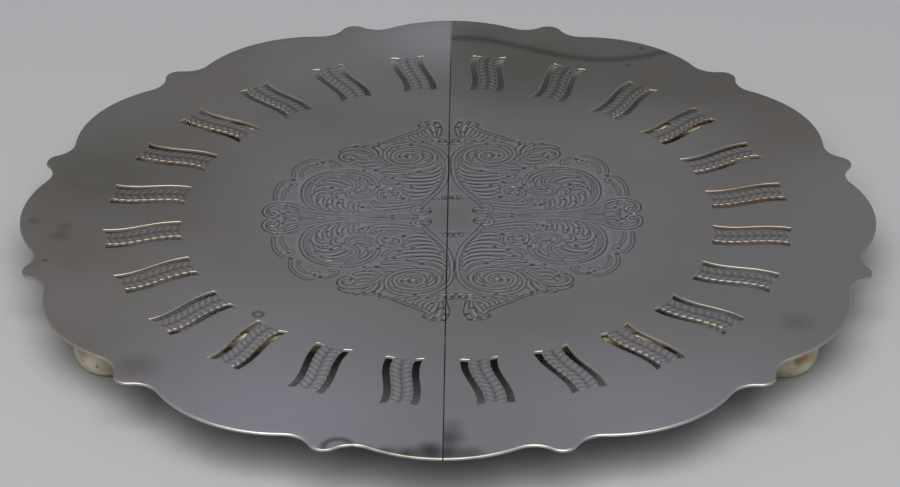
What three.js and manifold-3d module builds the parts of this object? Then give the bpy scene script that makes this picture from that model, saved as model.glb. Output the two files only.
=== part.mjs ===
// Expanding trivet: a round, pierced silver-plated top in two halves on four turned feet.
// The halves draw apart along X on two round rods. Each rod runs in a brass tube below
// either half, and a stop head on each of its ends keeps it from leaving the tube.
// Units are millimetres. +X points to the right half, +Y to the rear and +Z up. The origin
// is on the table, below the centre of the shut top.

import * as THREE from 'three';
import { mergeVertices } from 'three/addons/utils/BufferGeometryUtils.js';
import Module from 'manifold-3d';

const wasm = await Module();
wasm.setup();

// The top: lobes all round, with a small round nub between each two
const topHeight = 16;
const plateThickness = 1;
const crestRadius = 120;
const lobeRadius = 37.6;
const nubRadius = 4;
const notchRadius = 7.7;
const lobeCount = 12;
const jointGap = 0.4;

// The piercing: pairs of S-shaped slots that leave a leaf-edged strip between them
const pairCount = 24;
const pairRadius = 85.2;
const slotLength = 21.8;
const slotWidth = 2.7;
const slotSpacing = 7.5;
const slotSwing = 1.1;
const swingPeakShare = 0.7;
const slotTip = 0.8;
const slotTipShare = 0.75;
const leafCount = 10;
const leafDepth = 0.35;

// The slides: tubes soldered below the top, and the rods that run in them
const slideOffset = 57.5;
const tubeRadius = 3.5;
const tubeWall = 0.8;
const tubeFootGap = 2.9;
const solderWidth = 3;
const solderHeight = 0.4;
const mouthSetback = 0.6;
const bushFlange = 1;
const bushDepth = 8;
const rodRadius = 2;
const rodNeckRadius = 1.2;
const rodPeenRadius = 1.7;
const rodPeenThickness = 0.6;
const headLength = 5;
const plugDepth = 4;
const plugCap = 1.2;
const plugBevel = 0.4;
const rodEndGap = 0.8;
const runningGap = 0.1;

// The feet: turned buns, each held by a screw to a threaded boss below the top
const footCircleRadius = 104.5;
const footAngleShare = 1 / 12;
const footRadius = 9.6;
const footBaseRadius = 5.6;
const footTopRadius = 6.6;
const footBellyShare = 0.58;
const bossRadius = 4;
const bossHeight = 4;
const bossHoleDepth = 3.2;
const screwRadius = 1.5;
const screwHeadRadius = 2.8;
const screwHeadHeight = 1.8;
const screwSink = 4.5;
const screwTipGap = 0.4;
const screwTipBevel = 0.5;
const driverSlotWidth = 0.7;
const driverSlotDepth = 0.8;
const screwGap = 0.3;

// One length for every cut that runs past the piece that it cuts
const overrun = 1;

// How finely the round shapes are divided
const lobeSteps = 6;
const notchSteps = 3;
const nubSteps = 4;
const slotSteps = 6;
const tubeSides = 20;
const footSides = 20;
const screwSides = 12;
const footCurveSteps = 5;

const fullTurn = 2 * Math.PI;

const silverPlate = { color: 0x9a9794, roughness: 0.22, metalness: 1 };
const brass = { color: 0xb08d4c, roughness: 0.35, metalness: 1 };
const nickelSilver = { color: 0xa8a49a, roughness: 0.25, metalness: 1 };
const creamCasein = { color: 0xcfc39c, roughness: 0.4, metalness: 0 };
const plainSteel = { color: 0x77736c, roughness: 0.45, metalness: 1 };

// A closed body with shared corners, ready to be shown or cut.
function closed(geometry) {
  const body = geometry.clone();
  body.deleteAttribute('normal');
  body.deleteAttribute('uv');
  return mergeVertices(body);
}

// A named piece with a finish of its own.
function piece(name, geometry, finish) {
  const mesh = new THREE.Mesh(geometry, new THREE.MeshStandardMaterial(finish));
  mesh.name = name;
  return mesh;
}

// A body turned about its own Y axis, from a profile of [radius, height] pairs.
function turned(profile, sides) {
  const points = profile.map(([radius, height]) => new THREE.Vector2(radius, height));
  return closed(new THREE.LatheGeometry(points, sides));
}

// The first body with the second one cut out of it.
function cut(body, tool) {
  const [kept, removed] = [body, tool].map((geometry) => {
    const mesh = new wasm.Mesh({
      numProp: 3,
      vertProperties: geometry.attributes.position.array,
      triVerts: Uint32Array.from(geometry.index.array),
    });
    return new wasm.Manifold(mesh);
  });
  const result = kept.subtract(removed).getMesh();
  const geometry = new THREE.BufferGeometry();
  geometry.setAttribute('position', new THREE.BufferAttribute(result.vertProperties, 3));
  geometry.setIndex(new THREE.BufferAttribute(result.triVerts, 1));
  return geometry;
}

// The rim between the middle of a nub, at angle 0, and the middle of the next lobe.
// Three arcs follow one another without a corner: the nub, a hollow notch and the lobe.
function rimArcs() {
  const halfPitch = fullTurn / lobeCount / 2;
  const nub = new THREE.Vector2(crestRadius - nubRadius, 0);
  const lobe = new THREE.Vector2(crestRadius - lobeRadius, 0).rotateAround(new THREE.Vector2(), halfPitch);
  const nubReach = nubRadius + notchRadius;
  const lobeReach = lobeRadius + notchRadius;
  const apart = nub.distanceTo(lobe);
  const along = (nubReach ** 2 - lobeReach ** 2 + apart ** 2) / (2 * apart);
  const aside = Math.sqrt(nubReach ** 2 - along ** 2);
  const toLobe = lobe.clone().sub(nub).normalize();
  const outward = new THREE.Vector2(toLobe.y, -toLobe.x);
  const notch = nub.clone().addScaledVector(toLobe, along).addScaledVector(outward, aside);
  const nubEnd = nub.clone().lerp(notch, nubRadius / nubReach).angle();
  const notchEnd = lobe.clone().lerp(notch, lobeRadius / lobeReach).angle();
  return { halfPitch, nub, lobe, notch, nubEnd, notchEnd };
}

const rim = rimArcs();

// Distance from the centre to where a ray leaves a circle, on its far or its near side.
function rayToCircle(angle, centre, radius, side) {
  const along = centre.x * Math.cos(angle) + centre.y * Math.sin(angle);
  return along + side * Math.sqrt(along ** 2 - centre.lengthSq() + radius ** 2);
}

// Radius of the rim at an angle from the middle of the nearest nub.
function rimRadius(fromNub) {
  const angle = Math.abs(fromNub);
  if (angle < rim.nubEnd) return rayToCircle(angle, rim.nub, nubRadius, 1);
  if (angle < rim.notchEnd) return rayToCircle(angle, rim.notch, notchRadius, -1);
  return rayToCircle(angle, rim.lobe, lobeRadius, 1);
}

// Angles from one end of a stretch to the other, without the last one.
function stretch(start, end, steps) {
  return Array.from({ length: steps }, (_, step) => start + ((end - start) * step) / steps);
}

// Rim of the right half, from the front end of the joint round to its rear end.
function halfRim() {
  const pitch = 2 * rim.halfPitch;
  const nubCount = lobeCount / 2;
  const points = [];
  const jointDepth = jointGap / 2;
  const jointY = crestRadius - lobeRadius + Math.sqrt(lobeRadius ** 2 - jointDepth ** 2);
  points.push(new THREE.Vector2(jointDepth, -jointY));
  for (let index = 0; index < nubCount; index += 1) {
    const nubAngle = -fullTurn / 4 + rim.halfPitch + index * pitch;
    const firstStart = index === 0 ? jointDepth / crestRadius - rim.halfPitch : -rim.halfPitch;
    const offsets = [
      ...stretch(firstStart, -rim.notchEnd, lobeSteps / 2).slice(index === 0 ? 1 : 0),
      ...stretch(-rim.notchEnd, -rim.nubEnd, notchSteps),
      ...stretch(-rim.nubEnd, rim.nubEnd, nubSteps),
      ...stretch(rim.nubEnd, rim.notchEnd, notchSteps),
      ...stretch(rim.notchEnd, rim.halfPitch, lobeSteps / 2),
    ];
    for (const offset of offsets) {
      const radius = rimRadius(offset);
      const angle = nubAngle + offset;
      points.push(new THREE.Vector2(radius * Math.cos(angle), radius * Math.sin(angle)));
    }
  }
  points.push(new THREE.Vector2(jointDepth, jointY));
  return points;
}

// Sideways place of a pair's centre line: along is -1 at its inner end and 1 at its outer.
function swing(along) {
  return slotSwing * Math.sin((along * Math.PI) / (2 * swingPeakShare));
}

// Sideways reach of the slots' points. One edge of a slot turns out to a point at its outer
// end, and its other edge at its inner end. The sign of edge tells them apart.
function tip(along, edge) {
  const reach = Math.max(0, -edge * along - slotTipShare) / (1 - slotTipShare);
  return edge * slotTip * reach;
}

// Outline of one slot of a pair, to the side of the strip that side names with its sign.
// The far edge is smooth, and the edge on the strip follows the strip's leaves.
function slotOutline(pairAngle, side) {
  const farEdge = side * (slotSpacing / 2 + slotWidth / 2);
  const stripEdge = side * (slotSpacing / 2 - slotWidth / 2);
  const local = [];
  for (let step = 0; step <= slotSteps; step += 1) {
    const along = (2 * step) / slotSteps - 1;
    local.push([along, farEdge + swing(along) + tip(along, side)]);
  }
  for (let step = 2 * leafCount; step >= 0; step -= 1) {
    const along = step / leafCount - 1;
    const leaf = step % 2 === 1 ? side * leafDepth : 0;
    local.push([along, stripEdge + leaf + swing(along) + tip(along, -side)]);
  }
  const outline = local.map(([along, across]) => {
    const reach = pairRadius + (along * slotLength) / 2;
    return new THREE.Vector2(reach, across).rotateAround(new THREE.Vector2(), pairAngle);
  });
  return new THREE.Path(outline);
}

// Half of the top, pierced, as a flat sheet.
function plateGeometry() {
  const shape = new THREE.Shape(halfRim());
  const pitch = fullTurn / pairCount;
  for (let index = 0; index < pairCount / 2; index += 1) {
    const pairAngle = -fullTurn / 4 + pitch * (index + 0.5);
    shape.holes.push(slotOutline(pairAngle, 1), slotOutline(pairAngle, -1));
  }
  return closed(new THREE.ExtrudeGeometry(shape, { depth: plateThickness, bevelEnabled: false }));
}

const plateBottom = topHeight - plateThickness;
const slideHeight = plateBottom - solderHeight - tubeRadius;
const tubeBore = tubeRadius - tubeWall;
const spigotRadius = tubeBore - runningGap;
const bushStart = jointGap / 2 + mouthSetback;
const tubeStart = bushStart + bushFlange;
const footX = footCircleRadius * Math.cos(footAngleShare * fullTurn);
const footY = footCircleRadius * Math.sin(footAngleShare * fullTurn);
const tubeEnd = footX - footRadius - tubeFootGap - plugCap;
const tubeLength = tubeEnd - tubeStart;

// Tube with the bed of solder that fills the space between its crown and the top.
function tubeGeometry() {
  const crownHalfAngle = Math.asin(solderWidth / 2 / tubeRadius);
  const bedTop = tubeRadius + solderHeight;
  const outline = [];
  for (let step = 0; step <= tubeSides; step += 1) {
    const share = step / tubeSides;
    const angle = fullTurn / 4 + crownHalfAngle + (fullTurn - 2 * crownHalfAngle) * share;
    outline.push(new THREE.Vector2(tubeRadius * Math.cos(angle), tubeRadius * Math.sin(angle)));
  }
  outline.push(new THREE.Vector2(solderWidth / 2, bedTop), new THREE.Vector2(-solderWidth / 2, bedTop));
  const shape = new THREE.Shape(outline);
  const bore = stretch(0, -fullTurn, tubeSides).map(
    (angle) => new THREE.Vector2(tubeBore * Math.cos(angle), tubeBore * Math.sin(angle)),
  );
  shape.holes.push(new THREE.Path(bore));
  return closed(new THREE.ExtrudeGeometry(shape, { depth: tubeLength, bevelEnabled: false }));
}

// Bush in the mouth of a tube, which guides the rod and stops its head.
function bushGeometry() {
  const bore = rodRadius + runningGap;
  return turned([
    [bore, 0],
    [tubeRadius, 0],
    [tubeRadius, bushFlange - runningGap],
    [spigotRadius, bushFlange - runningGap],
    [spigotRadius, bushFlange + bushDepth],
    [bore, bushFlange + bushDepth],
    [bore, 0],
  ], tubeSides);
}

// Plug that closes the outer end of a tube.
function plugGeometry() {
  return turned([
    [0, -plugDepth],
    [spigotRadius, -plugDepth],
    [spigotRadius, runningGap],
    [tubeRadius, runningGap],
    [tubeRadius, plugCap - plugBevel],
    [tubeRadius - plugBevel, plugCap],
    [0, plugCap],
  ], tubeSides);
}

const rodHalfLength = tubeEnd - plugDepth - rodEndGap;
const rodShoulder = rodHalfLength - rodPeenThickness - headLength - 2 * runningGap;

// Rod with a neck at each end that carries a stop head behind a riveted-over tip.
function rodGeometry() {
  const outerHalf = [
    [rodNeckRadius, rodHalfLength - rodPeenThickness],
    [rodPeenRadius, rodHalfLength - rodPeenThickness],
    [rodPeenRadius, rodHalfLength],
    [0, rodHalfLength],
  ];
  const half = [[rodRadius, rodShoulder], [rodNeckRadius, rodShoulder], ...outerHalf];
  const mirrored = half.map(([radius, height]) => [radius, -height]).reverse();
  return turned([...mirrored, ...half], tubeSides);
}

// Stop head: a collar on the neck of the rod that slides in the bore of the tube.
function headGeometry() {
  const bore = rodNeckRadius + runningGap;
  return turned([
    [bore, 0],
    [spigotRadius, 0],
    [spigotRadius, headLength],
    [bore, headLength],
    [bore, 0],
  ], tubeSides);
}

const footHeight = plateBottom - bossHeight;
const screwBore = screwRadius + screwGap;

// Bun foot: a quarter ellipse from its flat base to its belly and one from there to its
// flat top, with a sunk hole for the screw.
function footGeometry() {
  const wellRadius = screwHeadRadius + screwGap;
  const bellyHeight = footBellyShare * footHeight;
  const quarter = stretch(0, fullTurn / 4, footCurveSteps);
  const lower = quarter.map((angle) => [
    footBaseRadius + (footRadius - footBaseRadius) * Math.sin(angle),
    bellyHeight * (1 - Math.cos(angle)),
  ]);
  const upper = quarter.map((angle) => [
    footTopRadius + (footRadius - footTopRadius) * Math.cos(angle),
    bellyHeight + (footHeight - bellyHeight) * Math.sin(angle),
  ]);
  return turned([
    [wellRadius, 0],
    ...lower,
    ...upper,
    [footTopRadius, footHeight],
    [screwBore, footHeight],
    [screwBore, screwSink],
    [wellRadius, screwSink],
    [wellRadius, 0],
  ], footSides);
}

// Threaded boss soldered below the top, open at its lower end.
function bossGeometry() {
  return turned([
    [screwBore, 0],
    [bossRadius, 0],
    [bossRadius, bossHeight],
    [0, bossHeight],
    [0, bossHoleDepth],
    [screwBore, bossHoleDepth],
    [screwBore, 0],
  ], footSides);
}

// Screw with a round slotted head, from the underside of its head upwards.
function screwGeometry() {
  const tip = footHeight - screwSink + bossHoleDepth - screwTipGap;
  const blank = turned([
    [0, -screwHeadHeight],
    [screwHeadRadius, -screwHeadHeight],
    [screwHeadRadius, 0],
    [screwRadius, 0],
    [screwRadius, tip - screwTipBevel],
    [screwRadius - screwTipBevel, tip],
    [0, tip],
  ], screwSides);
  const slotHeight = driverSlotDepth + overrun;
  const slot = new THREE.BoxGeometry(2 * (screwHeadRadius + overrun), slotHeight, driverSlotWidth);
  slot.translate(0, driverSlotDepth - screwHeadHeight - slotHeight / 2, 0);
  return cut(blank, closed(slot));
}

// Places a body that was turned about Y so that it stands along +X.
function layAlongX(mesh, x, y) {
  mesh.rotation.z = -fullTurn / 4;
  mesh.position.set(x, y, slideHeight);
  return mesh;
}

// Places a body that was turned about Y so that it stands upright.
function standUp(mesh, x, y, z) {
  mesh.rotation.x = fullTurn / 4;
  mesh.position.set(x, y, z);
  return mesh;
}

const shapes = {
  plate: plateGeometry(),
  tube: tubeGeometry(),
  bush: bushGeometry(),
  plug: plugGeometry(),
  rod: rodGeometry(),
  head: headGeometry(),
  foot: footGeometry(),
  boss: bossGeometry(),
  screw: screwGeometry(),
};

// Tube of one slide with its bush and its plug, for the half that lies towards +X.
function slideTube(name, y) {
  const tube = piece(`${name}_tube`, shapes.tube, brass);
  tube.rotation.set(fullTurn / 4, fullTurn / 4, 0);
  tube.position.set(tubeStart, y, slideHeight);
  const bush = layAlongX(piece(`${name}_mouth_bush`, shapes.bush, brass), bushStart, y);
  const plug = layAlongX(piece(`${name}_end_plug`, shapes.plug, brass), tubeEnd, y);
  return [tube, bush, plug];
}

// Foot of one corner with its boss and its screw, for the half that lies towards +X.
function cornerFoot(name, side) {
  const y = side * footY;
  return [
    standUp(piece(`${name}_foot`, shapes.foot, creamCasein), footX, y, 0),
    standUp(piece(`${name}_foot_boss`, shapes.boss, brass), footX, y, footHeight),
    standUp(piece(`${name}_foot_screw`, shapes.screw, plainSteel), footX, y, screwSink - screwGap),
  ];
}

// One half of the trivet. The left half is the right one turned half round.
function half(side, turn) {
  const group = new THREE.Group();
  group.rotation.z = turn;
  const plate = piece(`${side}_plate`, shapes.plate, silverPlate);
  plate.position.z = plateBottom;
  group.add(plate);
  const frontSign = -Math.sign(Math.cos(turn));
  for (const [row, sign] of [['front', frontSign], ['rear', -frontSign]]) {
    group.add(...slideTube(`${side}_${row}`, sign * slideOffset), ...cornerFoot(`${side}_${row}`, sign));
  }
  return group;
}

// Rod of one slide with a stop head on each end.
function slideRod(row, y) {
  const group = new THREE.Group();
  const headStart = rodShoulder + runningGap;
  group.add(
    layAlongX(piece(`${row}_rod`, shapes.rod, nickelSilver), 0, y),
    layAlongX(piece(`${row}_rod_right_head`, shapes.head, nickelSilver), headStart, y),
    layAlongX(piece(`${row}_rod_left_head`, shapes.head, nickelSilver), -headStart - headLength, y),
  );
  return group;
}

const group = new THREE.Group();
group.add(half('left', fullTurn / 2), half('right', 0));
group.add(slideRod('front', -slideOffset), slideRod('rear', slideOffset));

export default group;
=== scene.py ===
"""Expanding trivet: a pierced and engraved silver-plated top in two halves that draw apart.

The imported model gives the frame: where every piece sits and how it moves. This script puts a
finished surface in the place of each node, gives it the finish of the real thing, and sets up a
plain studio. Shapes are worked out in millimetres and turned to metres as they become meshes.
"""

import logging
import math
from collections.abc import Callable
from dataclasses import dataclass, field
from enum import Enum
from functools import partial

import bpy
import numpy as np
from mathutils import Matrix, Vector


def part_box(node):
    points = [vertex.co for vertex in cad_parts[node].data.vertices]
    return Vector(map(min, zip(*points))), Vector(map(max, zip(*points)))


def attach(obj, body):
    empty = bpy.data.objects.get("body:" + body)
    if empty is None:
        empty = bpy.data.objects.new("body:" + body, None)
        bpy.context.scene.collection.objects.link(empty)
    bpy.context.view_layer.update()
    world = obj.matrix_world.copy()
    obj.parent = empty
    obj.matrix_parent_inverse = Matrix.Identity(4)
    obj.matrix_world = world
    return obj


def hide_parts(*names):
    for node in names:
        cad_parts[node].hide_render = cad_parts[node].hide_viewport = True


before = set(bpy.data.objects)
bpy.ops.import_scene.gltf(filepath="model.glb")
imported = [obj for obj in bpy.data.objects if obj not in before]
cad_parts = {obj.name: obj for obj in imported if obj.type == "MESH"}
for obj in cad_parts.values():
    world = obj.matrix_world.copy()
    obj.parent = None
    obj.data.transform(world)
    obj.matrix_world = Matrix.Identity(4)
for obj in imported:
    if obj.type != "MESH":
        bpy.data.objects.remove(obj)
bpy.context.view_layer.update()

Array = np.ndarray
Material = bpy.types.Material
Socket = bpy.types.NodeSocket

MM = 0.001
FULL_TURN = 2 * math.pi
TINY = 1e-9  # lengths and shares below this count as nothing
CORNER_STEPS = 3  # parts of the curve that takes a corner off
CORNER_SHARE = 0.45  # most of an edge that a corner's curve takes up
FLOW_STEPS = 16  # steps per point in which a smooth curve is measured
SHARP_DEGREES = 38.0  # past this an edge between faces is shown as a corner

log = logging.getLogger("trivet")


# ---------------------------------------------------------------- small tools


def srgb(hex_colour: str) -> tuple[float, float, float, float]:
    """Linear colour of an sRGB hex value.

    Args:
        hex_colour: Six hex digits, red first.

    Returns:
        Red, green and blue as light, and an alpha of one.
    """
    channels = [int(hex_colour[i:i + 2], 16) / 255 for i in (0, 2, 4)]
    light = [c / 12.92 if c <= 0.04045 else ((c + 0.055) / 1.055) ** 2.4 for c in channels]
    return (light[0], light[1], light[2], 1.0)


def feed(tree: bpy.types.NodeTree, node: bpy.types.Node, inputs: dict) -> None:
    """Sets a node's inputs.

    Args:
        tree: The nodes of the material or the world.
        node: The node.
        inputs: Plain values, colours in hex or sockets to link, by the input's name or number.
    """
    for name, value in inputs.items():
        if isinstance(value, Socket):
            tree.links.new(value, node.inputs[name])
        else:
            node.inputs[name].default_value = srgb(value) if isinstance(value, str) else value


def add_node(tree: bpy.types.NodeTree, kind: str, out: str | int, inputs: dict | None = None,
             **settings: object) -> Socket:
    """Adds one node.

    Args:
        tree: The nodes of the material or the world.
        kind: Blender's name for the node, less the word ShaderNode.
        out: Name or number of the output that is wanted.
        inputs: What its inputs are set to, as feed takes it.
        settings: The node's own properties.

    Returns:
        The output.
    """
    node = tree.nodes.new("ShaderNode" + kind)
    for name, value in settings.items():
        setattr(node, name, value)
    feed(tree, node, inputs or {})
    return node.outputs[out]


def node_box(name: str) -> tuple[Array, Array]:
    """Lowest and highest corner of a node of the frame, in millimetres."""
    low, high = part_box(name)
    return np.array(low) / MM, np.array(high) / MM


def fade(value: Array) -> Array:
    """Smooth step from 0 to 1: three squares less two cubes of the value, held to that range."""
    share = np.clip(value, 0, 1)
    return share * share * (3 - 2 * share)


# ------------------------------------------------------------------- surfaces


class Skin:
    """One mesh in the making: grids of points, and the faces between them."""

    def __init__(self) -> None:
        """Starts with no points and no faces."""
        self.points: list[Array] = []
        self.patina: list[Array] = []
        self.wear: list[Array] = []
        self.faces: list[Array] = []
        self.count = 0

    def add(self, x: Array, y: Array, z: Array, patina: Array | float = 0.0,
            wear: Array | float = 0.0) -> Array:
        """Adds points.

        Args:
            x: Place along X in millimetres, as an array of any shape.
            y: Place along Y.
            z: Place along Z.
            patina: From -1, silver painted bright, partly by rubbing and partly as a painted
                highlight, to 1, for dark oxide.
            wear: How much of the plating is worn off there, from 0 to 1.

        Returns:
            The points' numbers, in the shape of the arrays.
        """
        x, y, z, patina, wear = np.broadcast_arrays(x, y, z, patina, wear)
        self.points.append(np.stack([x.ravel(), y.ravel(), z.ravel()], 1))
        self.patina.append(patina.ravel())
        self.wear.append(wear.ravel())
        numbers = self.count + np.arange(x.size).reshape(x.shape)
        self.count += x.size
        return numbers

    def cover(self, grid: Array, keep: Array | None = None, flip: bool = False,
              closed: bool = False) -> None:
        """Lays four-sided faces on a grid of points, facing along rows cross columns.

        Args:
            grid: Point numbers in rows and columns.
            keep: Which of the faces are laid, all of them if it isn't given.
            flip: Whether they face the other way.
            closed: Whether the last column joins the first.
        """
        if closed:
            grid = np.hstack([grid, grid[:, :1]])
        if flip:
            grid = grid[::-1]
            keep = None if keep is None else keep[::-1]
        quads = np.stack([grid[:-1, :-1], grid[1:, :-1], grid[1:, 1:], grid[:-1, 1:]], -1)
        self.faces.append(quads.reshape(-1, 4) if keep is None else quads[keep])

    def lace(self, first: Array, first_at: Array, second: Array, second_at: Array) -> None:
        """Joins two chains of points, with faces that look along first-to-second cross chain.

        Each link of a chain makes a three-sided face with the point of the other chain that
        its middle has reached, so the faces follow the order of the links' middles.

        Args:
            first: Point numbers of the first chain.
            first_at: Rising places of these points.
            second: Point numbers of the second chain.
            second_at: Rising places of these points.
        """
        first_mid = (first_at[1:] + first_at[:-1]) / 2
        second_mid = (second_at[1:] + second_at[:-1]) / 2
        across = np.searchsorted(second_mid, first_mid, side="left")
        self.faces.append(np.stack([first[:-1], second[across], first[1:]], 1))
        across = np.searchsorted(first_mid, second_mid, side="right")
        self.faces.append(np.stack([first[across], second[:-1], second[1:]], 1))

    def turn(self, profile: Array, sides: int, place: Callable, loop: bool = False) -> "Skin":
        """Turns a profile about an axis.

        A point of the surface is at radius times the cosine and the sine of the angle, and at
        its height along the axis. An end of the profile on the axis closes in one point.

        Args:
            profile: Rows of radius and height, with the solid on the right of the way along it.
            sides: Number of sides.
            place: Function from across, up and along to X, Y and Z.
            loop: Whether the profile closes on itself.

        Returns:
            The skin itself.
        """
        angle = np.arange(sides) * FULL_TURN / sides
        on_axis = profile[:, 0] < TINY
        ring = profile[~on_axis]
        across = ring[:, :1] * np.cos(angle)
        up = ring[:, :1] * np.sin(angle)
        grid = self.add(*place(across, up, np.broadcast_to(ring[:, 1:], across.shape)))
        grid = np.hstack([grid, grid[:, :1]])
        if loop:
            grid = np.vstack([grid, grid[:1]])
        self.cover(grid)
        for end, row in ((0, grid[0, ::-1]), (-1, grid[-1])):
            if on_axis[end]:
                pole = self.add(*place(np.zeros(1), np.zeros(1), profile[end, 1:]))
                self.faces.append(np.stack([row[:-1], np.repeat(pole, sides), row[1:]], 1))
        return self

    def build(self, name: str, material: Material, half_turn: bool = False) -> bpy.types.Object:
        """Makes the mesh object.

        Args:
            name: The object's name.
            material: Its finish.
            half_turn: Whether the shape is turned half round about Z.

        Returns:
            The object, at the origin, with its place in its mesh.
        """
        points = np.vstack(self.points) * MM
        if half_turn:
            points[:, :2] *= -1
        mesh = bpy.data.meshes.new(name)
        corners = np.concatenate([faces.ravel() for faces in self.faces])
        sizes = np.concatenate([np.full(len(faces), faces.shape[1]) for faces in self.faces])
        mesh.vertices.add(len(points))
        mesh.vertices.foreach_set("co", points.ravel())
        mesh.loops.add(len(corners))
        mesh.loops.foreach_set("vertex_index", corners.astype(np.int32))
        mesh.polygons.add(len(sizes))
        mesh.polygons.foreach_set("loop_start", (np.cumsum(sizes) - sizes).astype(np.int32))
        mesh.update(calc_edges=True)
        mesh.validate()
        for label, parts in (("patina", self.patina), ("wear", self.wear)):
            values = np.concatenate(parts).astype(np.float32)
            if values.any():
                mesh.attributes.new(label, "FLOAT", "POINT").data.foreach_set("value", values)
        mesh.shade_smooth()
        mesh.set_sharp_from_angle(angle=math.radians(SHARP_DEGREES))
        mesh.materials.append(material)
        piece = bpy.data.objects.new(name, mesh)
        bpy.context.scene.collection.objects.link(piece)
        return piece


def show(skin: Skin, name: str, finish: Material, body: str, node: str | None, slot: str,
         turned: bool = False) -> None:
    """Makes a piece and says which body it rides on and what it stands for.

    Args:
        skin: Its surface.
        name: Its name.
        finish: Its material.
        body: The body that it rides on.
        node: The node that it stands for, if any.
        slot: Name of its material slot; not used.
        turned: Whether its surface is given for the right half and it belongs to the left.
    """
    piece = skin.build(name, finish, turned)
    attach(piece, body)
    if node:
        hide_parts(node)
    log.info("%s: %d faces, rides on %s", name, len(piece.data.polygons), body)


def rounded(corners: list, radius: float, loop: bool = False) -> Array:
    """Profile with its corners taken off.

    Each corner gives way to a curve that starts and ends one radius from it: the start, the
    corner and the end, weighted by the square of what is left, twice the product and the
    square of the share that is done.

    Args:
        corners: Rows of two lengths.
        radius: Distance from a corner to where its curve starts.
        loop: Whether the profile closes on itself.

    Returns:
        Rows of two lengths.
    """
    points = np.asarray(corners, float)
    ends = []
    for neighbour in (np.roll(points, 1, 0), np.roll(points, -1, 0)):
        way = neighbour - points
        length = np.hypot(*way.T)
        reach = np.minimum(radius, CORNER_SHARE * length) / np.maximum(length, TINY)
        ends.append((points + way * reach[:, None])[:, None])
    share = np.linspace(0, 1, CORNER_STEPS + 1)[None, :, None]
    curve = (ends[0] * (1 - share) ** 2 + points[:, None] * 2 * share * (1 - share)
             + ends[1] * share ** 2)
    if loop:
        return curve.reshape(-1, 2)
    return np.vstack([points[:1], curve[1:-1].reshape(-1, 2), points[-1:]])


def on_disc(u: Array, v: Array) -> tuple[Array, Array]:
    """Place on the unit disc of a point of the square from -1 to 1.

    First each side is bent to the root of two times the sine of an eighth of a turn times it.
    Then each is shortened by the root of one less half the square of the other. The edge of
    the square falls on the circle in even steps of angle, and the lines u = 0 and v = 0 stay
    straight.

    Args:
        u: First side of the square.
        v: Second side of the square.

    Returns:
        X and Y on the disc.
    """
    bent_u, bent_v = (math.sqrt(2) * np.sin(side * math.pi / 4) for side in (u, v))
    return bent_u * np.sqrt(1 - bent_v ** 2 / 2), bent_v * np.sqrt(1 - bent_u ** 2 / 2)


# ------------------------------------------------------------------- finishes


def start_material(name: str, fixed: dict) -> tuple[Material, Callable, Socket]:
    """Starts a material.

    Args:
        name: Its name.
        fixed: Inputs of its shader that are the same all over.

    Returns:
        The material, the function that adds a node to it, and place on the piece in millimetres.
    """
    material = bpy.data.materials.new(name)
    material.use_nodes = True
    add = partial(add_node, material.node_tree)
    metres = add("TexCoord", "Object")
    place = add("VectorMath", "Vector", {0: metres, "Scale": 1 / MM}, operation="SCALE")
    return finish_material(material, fixed), add, place


def finish_material(material: Material, inputs: dict) -> Material:
    """Sets inputs of a material's shader, and returns the material."""
    feed(material.node_tree, material.node_tree.nodes["Principled BSDF"], inputs)
    return material


def mottle(add: Callable, place: Socket, size_mm: float, span: tuple, below: Socket | str,
           above: str, top: float = 1.0, **noise: float) -> tuple[Socket, Socket]:
    """Lays clouds of one colour over another.

    Their share is noise, stretched so that it is 0 at the span's first value and the top at its
    second.

    Args:
        add: Adds a node to the material.
        place: Place on the piece, in millimetres.
        size_mm: Size of the clouds.
        span: Values of the noise between which they fade in.
        below: Colour between them.
        above: Their own colour.
        top: Its largest share.
        noise: Further inputs of the noise.

    Returns:
        The share and the mixed colour.
    """
    share = add("TexNoise", "Fac", {"Vector": place, "Scale": 1 / size_mm, "Detail": 4.0} | noise)
    share = add("MapRange", "Result", {"Value": share, "From Min": span[0], "From Max": span[1],
                                       "To Max": top})
    return share, add("Mix", 2, {0: share, 6: below, 7: above}, data_type="RGBA")


@dataclass(frozen=True)
class Mark:
    """Soft-edged mark of another colour on a piece, in millimetres.

    A side of -1 or 1 keeps it on the left or the right half.
    """

    at: tuple
    width: float
    colour: str
    strength: float
    side: int = 0

    def away(self, add: Callable, place: Socket) -> Socket:
        """Distance of the surface from the middle of the mark, which its kind works out."""
        raise NotImplementedError

    def lay(self, add: Callable, place: Socket, tone: Socket | str) -> Socket:
        """Mixes the mark into a colour.

        Its share is a smooth step of one less the distance from its middle over the width.

        Args:
            add: Adds a node to the material.
            place: Place on the piece, in millimetres.
            tone: Colour below the mark.

        Returns:
            The marked colour.
        """
        share = add("MapRange", "Result", {"Value": self.away(add, place), "From Min": self.width,
                    "From Max": 0.0, "To Max": self.strength}, interpolation_type="SMOOTHSTEP")
        if self.side:
            across = add("SeparateXYZ", "X", {0: place})
            here = add("Math", 0, {0: across, 1: 0.0},
                       operation="GREATER_THAN" if self.side > 0 else "LESS_THAN")
            share = add("Math", 0, {0: share, 1: here}, operation="MULTIPLY")
        return add("Mix", 2, {0: share, 6: tone, 7: self.colour}, data_type="RGBA")


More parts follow.
